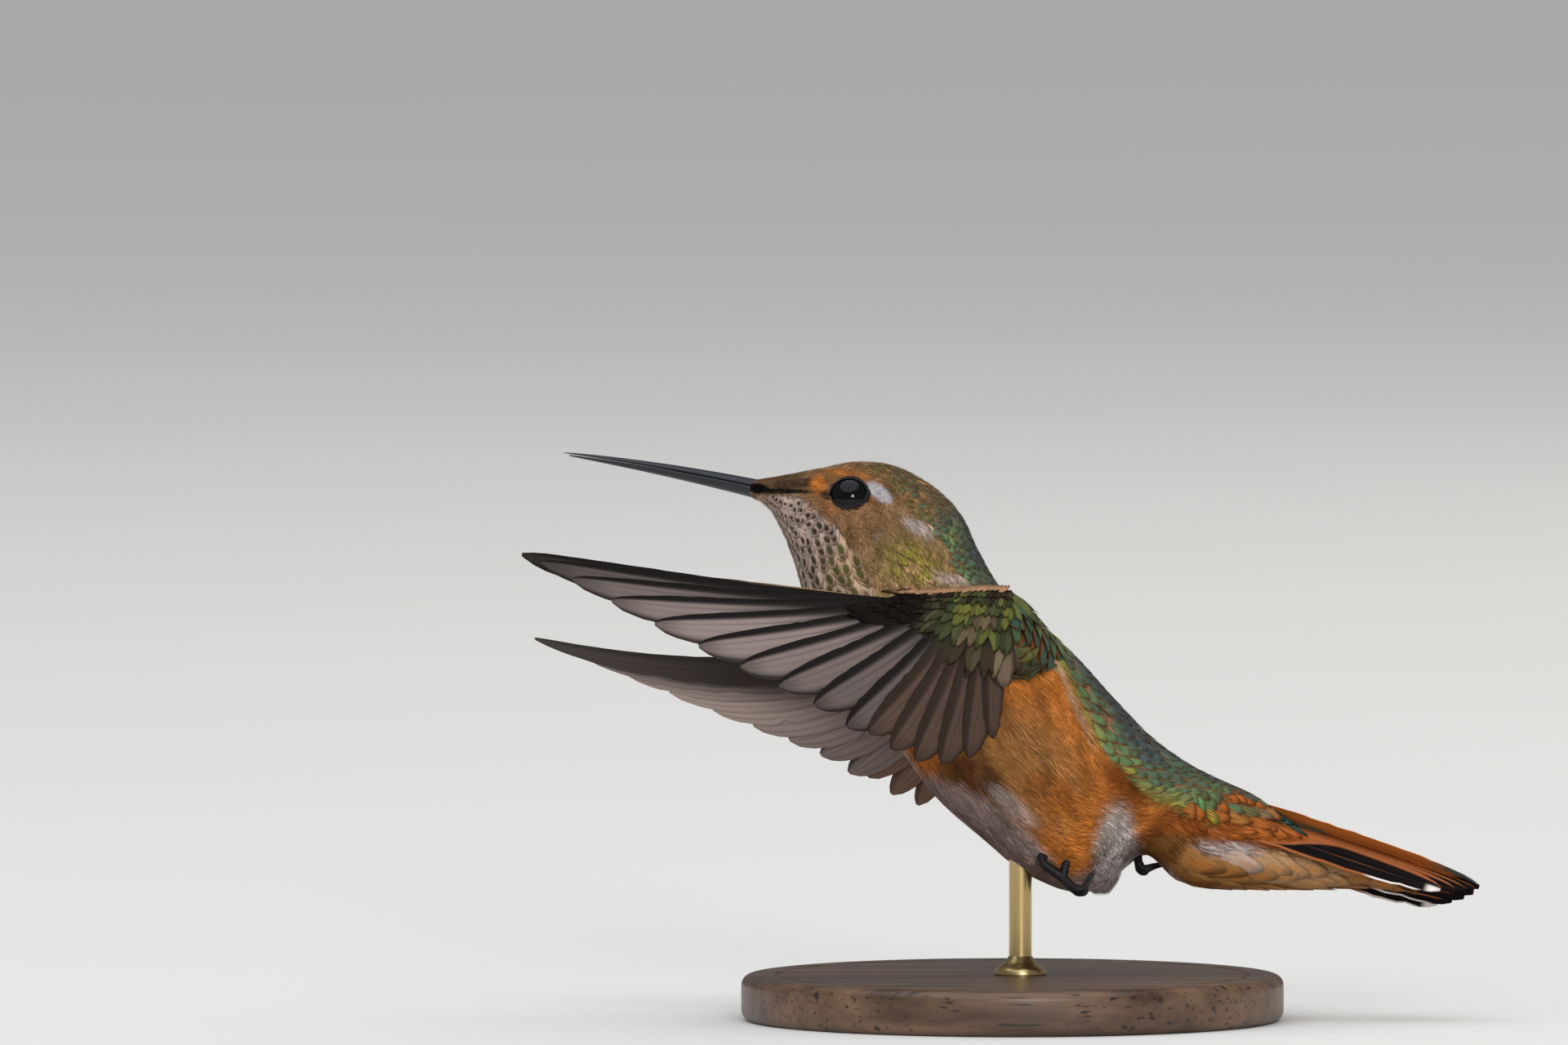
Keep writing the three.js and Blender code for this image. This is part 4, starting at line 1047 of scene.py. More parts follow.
def make_eyes():
    tree = bead_tree()
    for name, side in SIDES:
        make_lid_beads(name, side, tree)
        centre, axis, one, two = eye_frame(side)
        heap = Heap()
        tilt, turn = ring_grid(0.03, math.pi - 0.03, 48, 64)
        ball = (axis * np.cos(tilt)[..., None] + one * (np.sin(tilt) * np.cos(turn))[..., None]
                + two * (np.sin(tilt) * np.sin(turn))[..., None])
        add_tube(heap, centre + ball * (EYE["radius"] - EYE_PLAY), INK)
        heap.piece("eye_ball_" + name, materials["eye"], "eye_gloss", ("eye_" + name,))

        lid = Heap()
        section = np.array(LID_SECTION)
        rows, columns = 240, len(section)
        turn = turns(rows)[:, None]
        ring = rim_points(side, turn, section[:, 0] + lid_corner(turn), section[:, 1])
        faces = [(i * columns + j, i * columns + (j + 1) % columns,
                  ((i + 1) % rows) * columns + (j + 1) % columns, ((i + 1) % rows) * columns + j)
                 for i in range(rows) for j in range(columns)]
        flat = np.stack(np.broadcast_arrays(turn / (2 * math.pi), np.arange(columns) / columns), -1)
        flat = flat.reshape(1, -1, 2)
        points = ring.reshape(-1, 3)
        tone = np.where((section[:, 0] < 0.2)[:, None], RIM, UMBER)
        tone = np.broadcast_to(tone, (rows, columns, 3)).reshape(1, -1, 3)
        lid.add(points[None], (faces, []), flat, flat, tone, tone, flip=inside_out(points, faces))
        lid.piece("eye_lid_" + name, materials["lid"], "bill_horn")


def bill_half(way):
    """One half of the bill: the upper one where way is 1, the lower one where it is -1."""
    rows, arc = 64, 14
    ends = np.array([BILL["base"], BILL["bend"], BILL["tip"]])
    length = np.linalg.norm(ends[2] - ends[0])
    reach = 1 if way > 0 else 1 - BILL["overhang"] / length
    t = np.linspace(-0.06, reach, rows)[:, None]
    line = (1 - t) ** 2 * ends[0] + 2 * t * (1 - t) * ends[1] + t * t * ends[2]
    along = unit(2 * (1 - t) * (ends[1] - ends[0]) + 2 * t * (ends[2] - ends[1]))
    up = np.stack([along[:, 1], -along[:, 0]], -1)
    taper = np.clip(1 - t, 0, 1) ** BILL["taper"]
    height = BILL["tip_height"] + (BILL["height"] - BILL["tip_height"]) * taper
    width = height * mix((BILL["width"] / BILL["height"], 1), np.clip(t, 0, 1))
    turn = np.linspace(0, math.pi, arc + 1)[None, :]
    ridge = 1 + 0.06 * np.exp(-((turn - math.pi / 2) / 0.25) ** 2) * np.clip(1 - t, 0, 1)
    deep, at, wide = (0.16 * (1 - smooth(0.05, 0.45, t)), 0.95, 0.22) if way > 0 else (0.05, 0.8, 0.25)
    groove = 1 - deep * np.exp(-((np.abs(turn - math.pi / 2) - at) / wide) ** 2)
    rise = way * (BILL["split"] + (height - BILL["split"]) * np.sin(turn) * ridge)
    rings = np.zeros((rows, arc + 1, 3))
    rings[..., 0] = line[:, :1] + up[:, :1] * rise
    rings[..., 2] = line[:, 1:] + up[:, 1:] * rise
    rings[..., 1] = width * np.cos(turn) * groove
    return rings


def make_bill():
    for name, way in (("bill_upper", 1), ("bill_lower", -1)):
        heap = Heap()
        add_tube(heap, bill_half(way), INK)
        heap.piece("horn_" + name, materials["horn"], "bill_horn", (name,))


# ---------------------------------------------------------------- wings

# Places across a flight feather, from its leading edge to its trailing one; the shaft is at 0.
FLIGHT_ACROSS = np.array([-1, -0.7, -0.35, -0.1, 0, 0.06, 0.3, 0.6, 0.85, 1.0])


def flight_feather(heap, place, lead, trail, thick, colours, rng, rows=32, home=(0.0, 0.1), margin=0.0,
                   dark_root=0.0):
    """One long feather: a shaft with a vane on either side, a little frayed. place(s, across, lift) gives
    its points; margin is how pale its front margin is and dark_root how far its dark root reaches, a dark
    that is partly the root's own colour and partly painted shade under the coverts."""
    s, t = np.meshgrid(np.linspace(0, 1, rows + 1), FLIGHT_ACROSS, indexing="ij")
    shape = vane_width(s, 0.45, 0.35, 0.62, 0.1)
    rough = np.repeat(rng.normal(size=(rows + 1, 1)), len(FLIGHT_ACROSS), axis=1)
    frayed = 1 + (0.02 * rough - 0.01) * (np.abs(t) > 0.8) * smooth(0.15, 0.4, s)
    split = rng.uniform(0.45, 0.9)
    frayed = frayed - 0.16 * np.exp(-((s - split) / 0.02) ** 2) * (t > 0.8)
    across = np.where(t < 0, t * lead, t * trail) * shape * frayed
    shaft = np.exp(-(t / 0.07) ** 2) * (1 - 0.75 * s)
    curve = 0.35 * (1 - t * t) + 0.6 * shaft
    upper = place(s, across, thick * (curve - 0.5 * t)).reshape(-1, 3)
    lower = place(s, across, thick * (-0.3 - 0.5 * t)).reshape(-1, 3)
    points = np.concatenate([upper, lower])
    vane = np.stack([t / 2 + 0.5, s], -1).reshape(-1, 2)
    vane = np.concatenate([vane, vane])[None]
    left, wide = home
    spot = np.stack([left + wide * (0.05 + 0.9 * vane[..., 0]), 0.01 + 0.48 * vane[..., 1]], -1)
    centre, edge = (np.array([c]) for c in colours)
    faces = shell_faces(rows, len(FLIGHT_ACROSS) - 1)
    flip = inside_out(points, faces[0] + faces[1])
    heap.add(points[None], faces, vane, spot, centre, edge, margin, dark_root, flip)


def shell_faces(rows, columns):
    """Faces of a thin closed sheet: an upper side of rows by columns, the same below, and the rim."""
    wide = columns + 1
    below = (rows + 1) * wide
    top = [(i * wide + j, i * wide + j + 1, (i + 1) * wide + j + 1, (i + 1) * wide + j)
           for i in range(rows) for j in range(columns)]
    under = [tuple(below + k for k in reversed(face)) for face in top]
    rim = list(range(wide)) + [i * wide + columns for i in range(1, rows + 1)]
    rim += [rows * wide + j for j in range(columns - 1, -1, -1)] + [i * wide for i in range(rows - 1, 0, -1)]
    under += [(b, a, a + below, b + below) for a, b in zip(rim, rim[1:] + rim[:1])]
    return top, under


def wing_feather_place(side, root, angle, length, sag, layer):
    cos, sin = math.cos(angle), math.sin(angle)

    def place(s, across, lift):
        run = s * length
        off = across + 4 * sag * length * s * (1 - s)
        a = root[0] + run * cos - off * sin
        b = root[1] + run * sin + off * cos
        return wing_point(side, a, b, lift + layer * WING["layer"])

    return place


def between(places, t):
    """The place t of the way from the first of two places on the wing to the second."""
    return [mix([place[k] for place in places], t) for k in (0, 1)]


def make_wing(name, side):
    rng = np.random.default_rng(20 + side)
    fan = HELD[side]["fan"]
    count = PRIMARIES["count"]
    heap = Heap(0.5)
    for i in range(count):
        t = i / (count - 1)
        fall = (1 + math.cos(math.pi * t ** PRIMARIES["length_curve"])) / 2
        length = mix((PRIMARIES["shortest"], PRIMARIES["longest"]), fall)
        root = between(PRIMARIES["root"], t)
        low, high = PRIMARIES["angle"]
        angle = low + (high * fan - low) * t ** PRIMARIES["angle_curve"]
        place = wing_feather_place(side, root, angle, length, mix(PRIMARIES["sag"], t), i)
        pale = np.array(VANE_PALE) * (0.12 + 0.82 * min(t * 2.1, 1)) * (1 - 0.62 * smooth(0.35, 1.0, t))
        # The outer primaries' dark root reaches further: partly their own colour and partly painted shade
        # under the coverts.
        flight_feather(heap, place, mix(PRIMARIES["lead"], t), mix(PRIMARIES["trail"], t), WING["dome"],
                       (VANE_DARK, pale), rng, home=(i / count, 1 / count), margin=float(i == 0),
                       dark_root=float(smooth(0.75, 0.1, t)))
    heap.piece(f"primaries_{name}", materials["vane"], "flight_feathers", (f"wing_{name}_primaries",))

    heap = Heap(0.5)
    count = SECONDARIES["count"]
    for i in range(count):
        t = i / (count - 1)
        length = mix((SECONDARIES["longest"], SECONDARIES["shortest"]), t ** SECONDARIES["length_curve"])
        root = between(SECONDARIES["root"], t)
        low, high = SECONDARIES["angle"]
        angle = low * fan + (high - low * fan) * t
        sag = SECONDARIES["sag"] * (1 - t)
        place = wing_feather_place(side, root, angle, length, sag, PRIMARIES["count"] + i)
        pale = np.array(VANE_PALE) * (0.29 - 0.07 * t) * (1, 0.78, 0.62)
        lead, trail = (mix(SECONDARIES[key], t ** 3) for key in ("lead", "trail"))
        flight_feather(heap, place, lead, trail, WING["dome"], (VANE_BROWN, pale), rng,
                       home=(i / (count + 1), 1 / (count + 1)))
    layer = PRIMARIES["count"] + count
    place = wing_feather_place(side, TERTIAL["root"], TERTIAL["angle"], TERTIAL["length"], 0.0, layer)
    flight_feather(heap, place, TERTIAL["lead"], TERTIAL["trail"], WING["dome"], (VANE_BROWN, DUSK), rng,
                   home=(count / (count + 1), 1 / (count + 1)))
    heap.piece(f"secondaries_{name}", materials["vane"], "flight_feathers", (f"wing_{name}_secondaries",))


# Rows of coverts from the longest up to the leading edge: first and last root, along and back from the
# wrist, how many, length and half width.
COVERT_ROWS = (
    ((7.8, 1.7), (-2.0, 5.0), 19, 4.4, 0.72),
    ((7.2, 1.3), (-2.3, 3.9), 23, 3.0, 0.56),
    ((6.8, 1.0), (-2.4, 2.9), 25, 2.3, 0.48),
    ((6.4, 0.65), (-2.5, 2.0), 26, 1.9, 0.43),
    ((6.2, 0.35), (-2.6, 1.2), 27, 1.6, 0.38),
    ((6.6, 0.15), (-2.6, 0.5), 30, 1.3, 0.33),
    ((7.6, 0.2), (-2.7, -0.05), 34, 1.3, 0.22),
)
FRONT_ROW = len(COVERT_ROWS) - 1
COVERT_WRAP = (60.0, 60.0)       # millimetres of the wing that fill the coverts' unwrap


def covert_height(a, b, way, level):
    """How far the coverts' sheet stands off the wing: it swells over the arm and hand inside."""
    over_arm = np.exp(-((b - 2.4) / 2.2) ** 2) * (1 - smooth(-0.5, 7.5, a))
    if way > 0:
        return 0.4 + 0.85 * (1 - smooth(-1, 7, a)) + 0.55 * over_arm + 0.05 * level
    return -0.1 - 1.45 * over_arm - 0.05 * level


def make_coverts(name, side):
    """The small feathers over the arm and hand, on the wing's back and, plainer, on its inner face."""
    rng = np.random.default_rng(40 + side)
    heap = Heap()
    for way in (1, -1):
        for level, (first, last, n, length, half) in enumerate(COVERT_ROWS):
            t = (np.arange(n) + 0.5 * (level % 2)) / n
            a = first[0] + (last[0] - first[0]) * t
            b = first[1] + (last[1] - first[1]) * t ** 0.8
            heading = mix((0.12, 1.5), smooth(0, 1, t)) + 0.07 * rng.normal(size=n)
            if level == FRONT_ROW:
                heading = heading * 0.6
            sheet = Surface(lambda a, b, k=level: wing_point(side, a, b, covert_height(a, b, way, k)))
            sheet.face(a, b, unit(wing_point(side, a, b, float(way)) - wing_point(side, a, b, 0.0)))
            _, along, across, _ = sheet.frame(a, b)
            aim = unit(along) * np.cos(heading)[:, None] + unit(across) * np.sin(heading)[:, None]
            centre, edge, gleam = covert_colours(a, b, level, way, rng)
            roots = feathers(
                a, b, aim=aim, length=length * (1 + 0.08 * rng.normal(size=n)),
                half=half * (1 + 0.05 * rng.normal(size=n)), low=0.0, high=0.12, dome=0.08, fray=0.07,
                sway=0.05 * rng.normal(size=n), centre=centre, edge=edge, disc=1.05, gleam=gleam)
            lay(heap, sheet, roots, leaf_grid(5, 6), rng, COVERT_WRAP)
    heap.piece(f"coverts_{name}", materials["plumage"], "bronze_plumage")


def covert_colours(a, b, level, way, rng):
    n = len(a)
    shade = 1 + 0.15 * rng.normal(size=(n, 1))
    if way < 0:
        centre = dye(rows_of(DUSK, n), RUSTY, np.full(n, 0.35 if level > 3 else 0.0))
        return centre * shade, dye(centre, BUFF, np.full(n, 0.3)), np.zeros(n)
    green = (1 - smooth(2.0, 4.5, a)) * (1 - smooth(3.5, 5.5, level + 0.8 * rng.normal(size=n)))
    green = green * (0.2 if level == 0 else 1.0)
    patch = ripple(a, b, 51, 0.6) + 0.4 * rng.normal(size=n)
    centre = dye(rows_of(VANE_BROWN, n), VANE_DARK, smooth(1.0, 5.0, a))
    centre = dye(centre, (0.038, 0.045, 0.018), green * 0.9)
    centre = dye(centre, (0.1, 0.1, 0.022), green * smooth(0.1, 0.9, patch) * 0.9)
    centre = dye(centre, (0.12, 0.08, 0.045), green * smooth(0.5, 1.2, -patch) * 0.7)
    if level == 0:
        centre = dye(centre, (0.13, 0.1, 0.06), (1 - smooth(-1.5, 1.5, a)) * smooth(-0.5, 0.6, patch) * 0.8)
    edge = dye(centre * 0.7, VANE_DARK, np.full(n, 0.3))
    if level == FRONT_ROW:
        front = smooth(7.6, 5.5, a) * 0.8
        centre, edge = dye(centre, (0.34, 0.19, 0.1), front), dye(edge, (0.28, 0.15, 0.08), front)
    return centre * shade, edge * shade, 0.1 * green


def make_shoulder(name, side):
    """Shoulder feathers round the arm, from the body out to the wrist, lying back over the wing's root."""
    rng = np.random.default_rng(60 + side)
    where = arm_surface(side, -LIMB_COAT)
    sheet = Surface(where)
    found = []
    t, row = -0.04, 0
    while t < 0.9:
        size = 1.25 - 0.45 * max(t, 0)
        found.append(ring_of_roots(where, t, size, row, steps=48))
        t += size * 0.05
        row += 1
    t, turn, size = np.concatenate(found).T
    points = where(t, turn)
    keep = outside(points, [body_tree], 0.3)
    t, turn, size, points = t[keep], turn[keep], size[keep], points[keep]
    n = len(t)
    out = unit(points - where(t, turn + math.pi))
    sheet.face(t, turn, out)
    back = unit(wing_point(side, 0, WING["chord"], 0) - wing_point(side, 0, 0, 0))
    tailward = np.array([0.75, 0.0, -0.65])
    aim = back * (0.2 + 0.8 * t[:, None]) + tailward * (1.1 - 0.7 * t[:, None])
    aim = aim + 0.08 * rng.normal(size=(n, 3))
    inner = smooth(0.0, 0.5, -np.sum(out * np.array([0, side, 0.55]), -1))
    chance = rng.random(n)
    centre = dye(rows_of(GREEN, n), TEAL, (chance < 0.45) * 0.9)
    centre = dye(centre, LIME, (chance > 0.85) * 0.5)
    centre = dye(centre, (0.045, 0.06, 0.03), rng.random(n) * 0.7)
    centre = dye(centre, UMBER, inner * 0.8)
    edge = dye(rows_of(CHESTNUT, n), SPOT, 0.4 + 0.5 * rng.random(n))
    roots = feathers(
        t, turn, aim=aim, length=size * 2.2, half=size * 0.66, low=0.03, high=0.36 + 0.12 * rng.random(n),
        dome=0.14, fray=0.06, sway=0.05 * rng.normal(size=n), centre=centre, edge=edge, disc=1.05,
        gleam=0.3 * (1 - inner))
    heap = Heap()
    lay(heap, sheet, roots, leaf_grid(5, 6), rng, (2 * math.pi, 1.0))
    heap.piece(f"scapulars_{name}", materials["plumage"], "bronze_plumage")


# ---------------------------------------------------------------- tail


def tail_place(side, number, length):
    t = number / (TAIL["count"] - 1)
    yaw, drop, roll = (mix(TAIL[key], t) for key in ("spread", "drop", "roll"))
    root = (TAIL["step"][0] * (number + TAIL["offset"]), -TAIL["step"][1] * number)
    cos, sin = math.cos(TAIL["slope"]), math.sin(TAIL["slope"])

    def place(s, across, lift):
        run = s * length
        out = root[0] + run * math.sin(yaw) + across * math.cos(roll) + lift * math.sin(roll)
        up = root[1] + lift * math.cos(roll) - across * math.sin(roll) - run * math.sin(drop)
        along = run * math.cos(yaw)
        return np.stack([TAIL["base"][0] + along * cos + up * sin, side * out,
                         TAIL["base"][1] - along * sin + up * cos], -1)

    return place


def make_tail():
    rng = np.random.default_rng(80)
    heaps = {"tail_central": Heap(0.5), "tail_left": Heap(0.5), "tail_right": Heap(0.5)}
    for name, side in SIDES:
        for number in range(TAIL["count"]):
            t = number / (TAIL["count"] - 1)
            length = mix((TAIL["longest"], TAIL["shortest"]), t ** TAIL["length_curve"])
            heap = heaps["tail_central" if number == 0 else "tail_" + name]
            strip = (number / TAIL["count"] + (0.1 if side > 0 else 0.0), 0.5 / TAIL["count"])
            # The middle pair get a lighter rufous and the others a darker chestnut: painted light on the
            # middle pair at the tail's top, painted shade on the others.
            base = (0.46, 0.14, 0.03) if number == 0 else CHESTNUT
            # The tail's finish reads the feather's number, from 0 to 1, in place of an edge colour.
            flight_feather(heap, tail_place(side, number, length), TAIL["half"], TAIL["half"], TAIL["thick"],
                           (base, (t, 0.0, 0.0)), rng, rows=34, home=strip)
    for node, heap in heaps.items():
        heap.piece("vanes_" + node, materials["tail"], "tail_feathers", (node,))


# ---------------------------------------------------------------- legs and feet

DOWN_STRANDS = 7000              # tried for on each thigh; those inside the body are left out


def make_thigh(name, side):
    """The soft down of the thigh and vent round the top of the leg."""
    rng = np.random.default_rng(90 + side)
    where = puff_surface(side, -LIMB_COAT)
    sheet = Surface(where)
    t = rng.uniform(0.3, 0.97, DOWN_STRANDS)
    turn = rng.uniform(0, 2 * math.pi, DOWN_STRANDS)
    points = where(t, turn)
    keep = outside(points, [body_tree], 0.35)
    t, turn, points = t[keep], turn[keep], points[keep]
    n = len(t)
    sheet.face(t, turn, unit(points - where(t, turn + math.pi)))
    colour = rows_of(WHITE, n) * (0.75 + 0.35 * rng.random((n, 1)))
    roots = feathers(
        t, turn, aim=np.array([0.35, 0, -1.0]) + 0.16 * rng.normal(size=(n, 3)),
        length=rng.uniform(1.0, 1.8, n) * (1 - 0.5 * smooth(0.5, 0.95, t)), half=0.028, low=0.05,
        high=rng.uniform(0.2, 0.5, n), dome=0.4, fray=0.0, sway=0.25 * rng.normal(size=n),
        centre=colour, edge=colour, disc=0.0, gleam=0.0)
    heap = Heap()
    lay(heap, sheet, roots, strand_grid(2), rng, (2 * math.pi, 1.0))
    heap.piece(f"down_{name}", materials["plumage"], "white_down")


def limb_rings(points, radii):
    """Rings of a limb along points, with its radius at each."""
    points = np.asarray(points, float)
    along = unit(np.gradient(points, axis=0))
    across = unit(np.cross(np.array([0, 1.0, 0]), along))
    other = np.cross(along, across)
    turn = turns(10)
    return (points[:, None] + across[:, None] * (radii[:, None] * np.cos(turn))[..., None]
            + other[:, None] * (radii[:, None] * np.sin(turn))[..., None])


TOE = {
    "front": 3, "fan": 26 * DEG, "behind": 132 * DEG, "length": 2.6, "reach": 109 * DEG, "slack": 1.2,
    "curl": 0.9, "root": 0.36, "taper": 0.11, "scute": 0.05, "scutes": 38, "knuckle": 0.05, "rings": 61,
}
CLAW = {"length": 1.5, "curl": 0.9, "root": 0.2, "point": 0.02, "rings": 14}
SHANK = {"half": 0.38, "scute": 0.05, "scutes": 40, "rings": 90}


def scutes(run):
    """The low ridges of the scutes, from 0 to 1, one for each pi that run goes on."""
    return np.abs(np.sin(run)) ** 0.7


def make_foot(name, side):
    """The bare shank, three toes forward and one behind, closed, each with scutes and a claw."""
    leg = LEGS[side]
    heap = Heap()
    ankle = np.array(leg["foot"]) * (1, side, 1)
    for k in range(TOE["front"] + 1):
        behind = k == TOE["front"]
        turn = 0 if behind else (k - (TOE["front"] - 1) / 2) * TOE["fan"]
        heading = leg["aim"] + (TOE["behind"] if behind else 0)
        cos, sin = math.cos(heading), math.sin(heading)
        out = np.array([cos * math.cos(turn), math.sin(turn), sin * math.cos(turn)])
        hook = np.array([-sin, 0, cos]) * (-1 if behind else 1)
        s = np.linspace(0, 1, TOE["rings"])
        line = (ankle + out * (TOE["length"] * np.sin(s * TOE["reach"]) / TOE["slack"])[:, None]
                + hook * (TOE["curl"] * s * s)[:, None])
        radii = TOE["root"] - TOE["taper"] * s + TOE["scute"] * scutes(s * TOE["scutes"])
        radii = radii + TOE["knuckle"] * np.exp(-((s - 0.55) / 0.08) ** 2)
        strip = (0.02 + 0.24 * k, 0.2 + 0.24 * k)
        add_tube(heap, limb_rings(line, radii), INK, (*strip, 0.05, 0.3))
        # The claw runs on from the toe's end and curls under.
        start = line[-1]
        way = unit(line[-1] - line[-2])
        s = np.linspace(0, 1, CLAW["rings"])
        claw = start + way * np.sin(s * CLAW["length"])[:, None] + hook * (CLAW["curl"] * s ** 1.8)[:, None]
        radii = CLAW["root"] * (1 - s) ** 0.8 + CLAW["point"]
        add_tube(heap, limb_rings(claw, radii), BLACK, (*strip, 0.35, 0.6))
    knots = np.array([leg["puff"], leg["shank"], leg["foot"]]) * (1, side, 1)
    line = spline(knots, np.linspace(0.55, 2, SHANK["rings"]))
    radii = SHANK["half"] + SHANK["scute"] * scutes(np.linspace(0, SHANK["scutes"], SHANK["rings"]))
    add_tube(heap, limb_rings(line, radii), INK, (0.05, 0.5, 0.7, 0.95))
    heap.piece("toes_" + name, materials["scute"], "foot_skin", ("foot_" + name,))


# ---------------------------------------------------------------- stand


def turned(name, profile, centre, material, replaces, columns=160):
    """A turned piece on an upright axis, from its profile of (radius, height) in metres."""
    profile = np.array(profile)
    turn = turns(columns)
    rings = np.stack([centre[0] + profile[:, :1] * np.cos(turn), centre[1] + profile[:, :1] * np.sin(turn),
                      np.repeat(profile[:, 1:], columns, axis=1)], -1)
    points = tube_points(rings)
    faces = grid_faces(len(profile), columns)
    mesh = bpy.data.meshes.new(name)
    mesh.from_pydata([tuple(p) for p in points], [], faces)
    mesh.polygons.foreach_set("use_smooth", [True] * len(mesh.polygons))
    mesh.update()
    # Unwrapped from above, with the faces that look down beside those that look up.
    layer = mesh.uv_layers.new(name="OFBake")
    corners = points[[loop.vertex_index for loop in mesh.loops], :2]
    flat = 0.23 * (corners - np.array(centre)) / profile[:, 0].max()
    normals = np.repeat([p.normal.z for p in mesh.polygons], [p.loop_total for p in mesh.polygons])
    flat = flat + np.stack([np.where(normals < 0, 0.75, 0.25), np.full(len(flat), 0.5)], -1)
    layer.data.foreach_set("uv", flat.astype(np.float32).ravel())
    mesh.set_sharp_from_angle(angle=35 * DEG)
    return settle(name, mesh, material, replaces)


def rounded(corner, radius, start):
    """Points of a quarter arc round corner, from the angle start in quarter turns."""
    angles = (start + np.linspace(0, 1, 8)) * math.pi / 2
    return [(corner[0] + radius * math.cos(a), corner[1] + radius * math.sin(a)) for a in angles]


# The stand, in millimetres: the base's rounded edge and the groove in its top, the rod's radius, how far
# it goes into the bird and how far it is above the base, and the small fans that close base and rod at
# their axes. The base is over_flats times as wide as the CAD's is across its flats.
STAND = {
    "edge": 0.9, "groove_in": 2.8, "groove_wide": 0.7, "groove_slope": 0.2, "rod": 1.0, "into_bird": 1.2,
    "above": 0.05, "base_fan": 0.4, "rod_fan": 0.1, "over_flats": 1.002,
}
# The rod's foot: in from its outer edge and up from the base, then out from the rod and up.
ROD_FOOT = ((0.0, 0.0), (0.0, 0.3), (0.2, 0.6), (0.6, 0.8))
ROD_FLARE = ((0.4, 1.1), (0.0, 1.6))


def make_stand():
    """A round wooden base with a shallow groove, and a brass rod that ends inside the belly."""
    low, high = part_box("stand_base")
    radius = (high.x - low.x) / 2 * STAND["over_flats"]
    thick, edge, fan = high.z, STAND["edge"] * MM, STAND["base_fan"] * MM
    outer = radius - STAND["groove_in"] * MM
    inner = outer - STAND["groove_wide"] * MM
    slope = STAND["groove_slope"] * MM
    profile = [(fan, 0.0)]
    profile += rounded((radius - edge, edge), edge, -1) + rounded((radius - edge, thick - edge), edge, 0)
    profile += [(outer, thick), (outer - slope, thick - slope), (inner + slope, thick - slope)]
    profile += [(inner, thick), (fan, thick)]
    turned("base_disc", profile, (0.0, 0.0), materials["wood"], ("stand_base",))
    low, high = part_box("stand_rod")
    middle = ((low.x + high.x) / 2, (low.y + high.y) / 2)
    foot, rod, top = (high.x - low.x) / 2, STAND["rod"] * MM, high.z + STAND["into_bird"] * MM
    base, fan = thick + STAND["above"] * MM, STAND["rod_fan"] * MM
    profile = [(fan, base)] + [(foot - inward * MM, base + up * MM) for inward, up in ROD_FOOT]
    profile += [(rod + outward * MM, base + up * MM) for outward, up in ROD_FLARE]
    profile += [(rod, top), (fan, top)]
    turned("rod_brass", profile, middle, materials["brass"], ("stand_rod",), columns=64)


# ---------------------------------------------------------------- materials


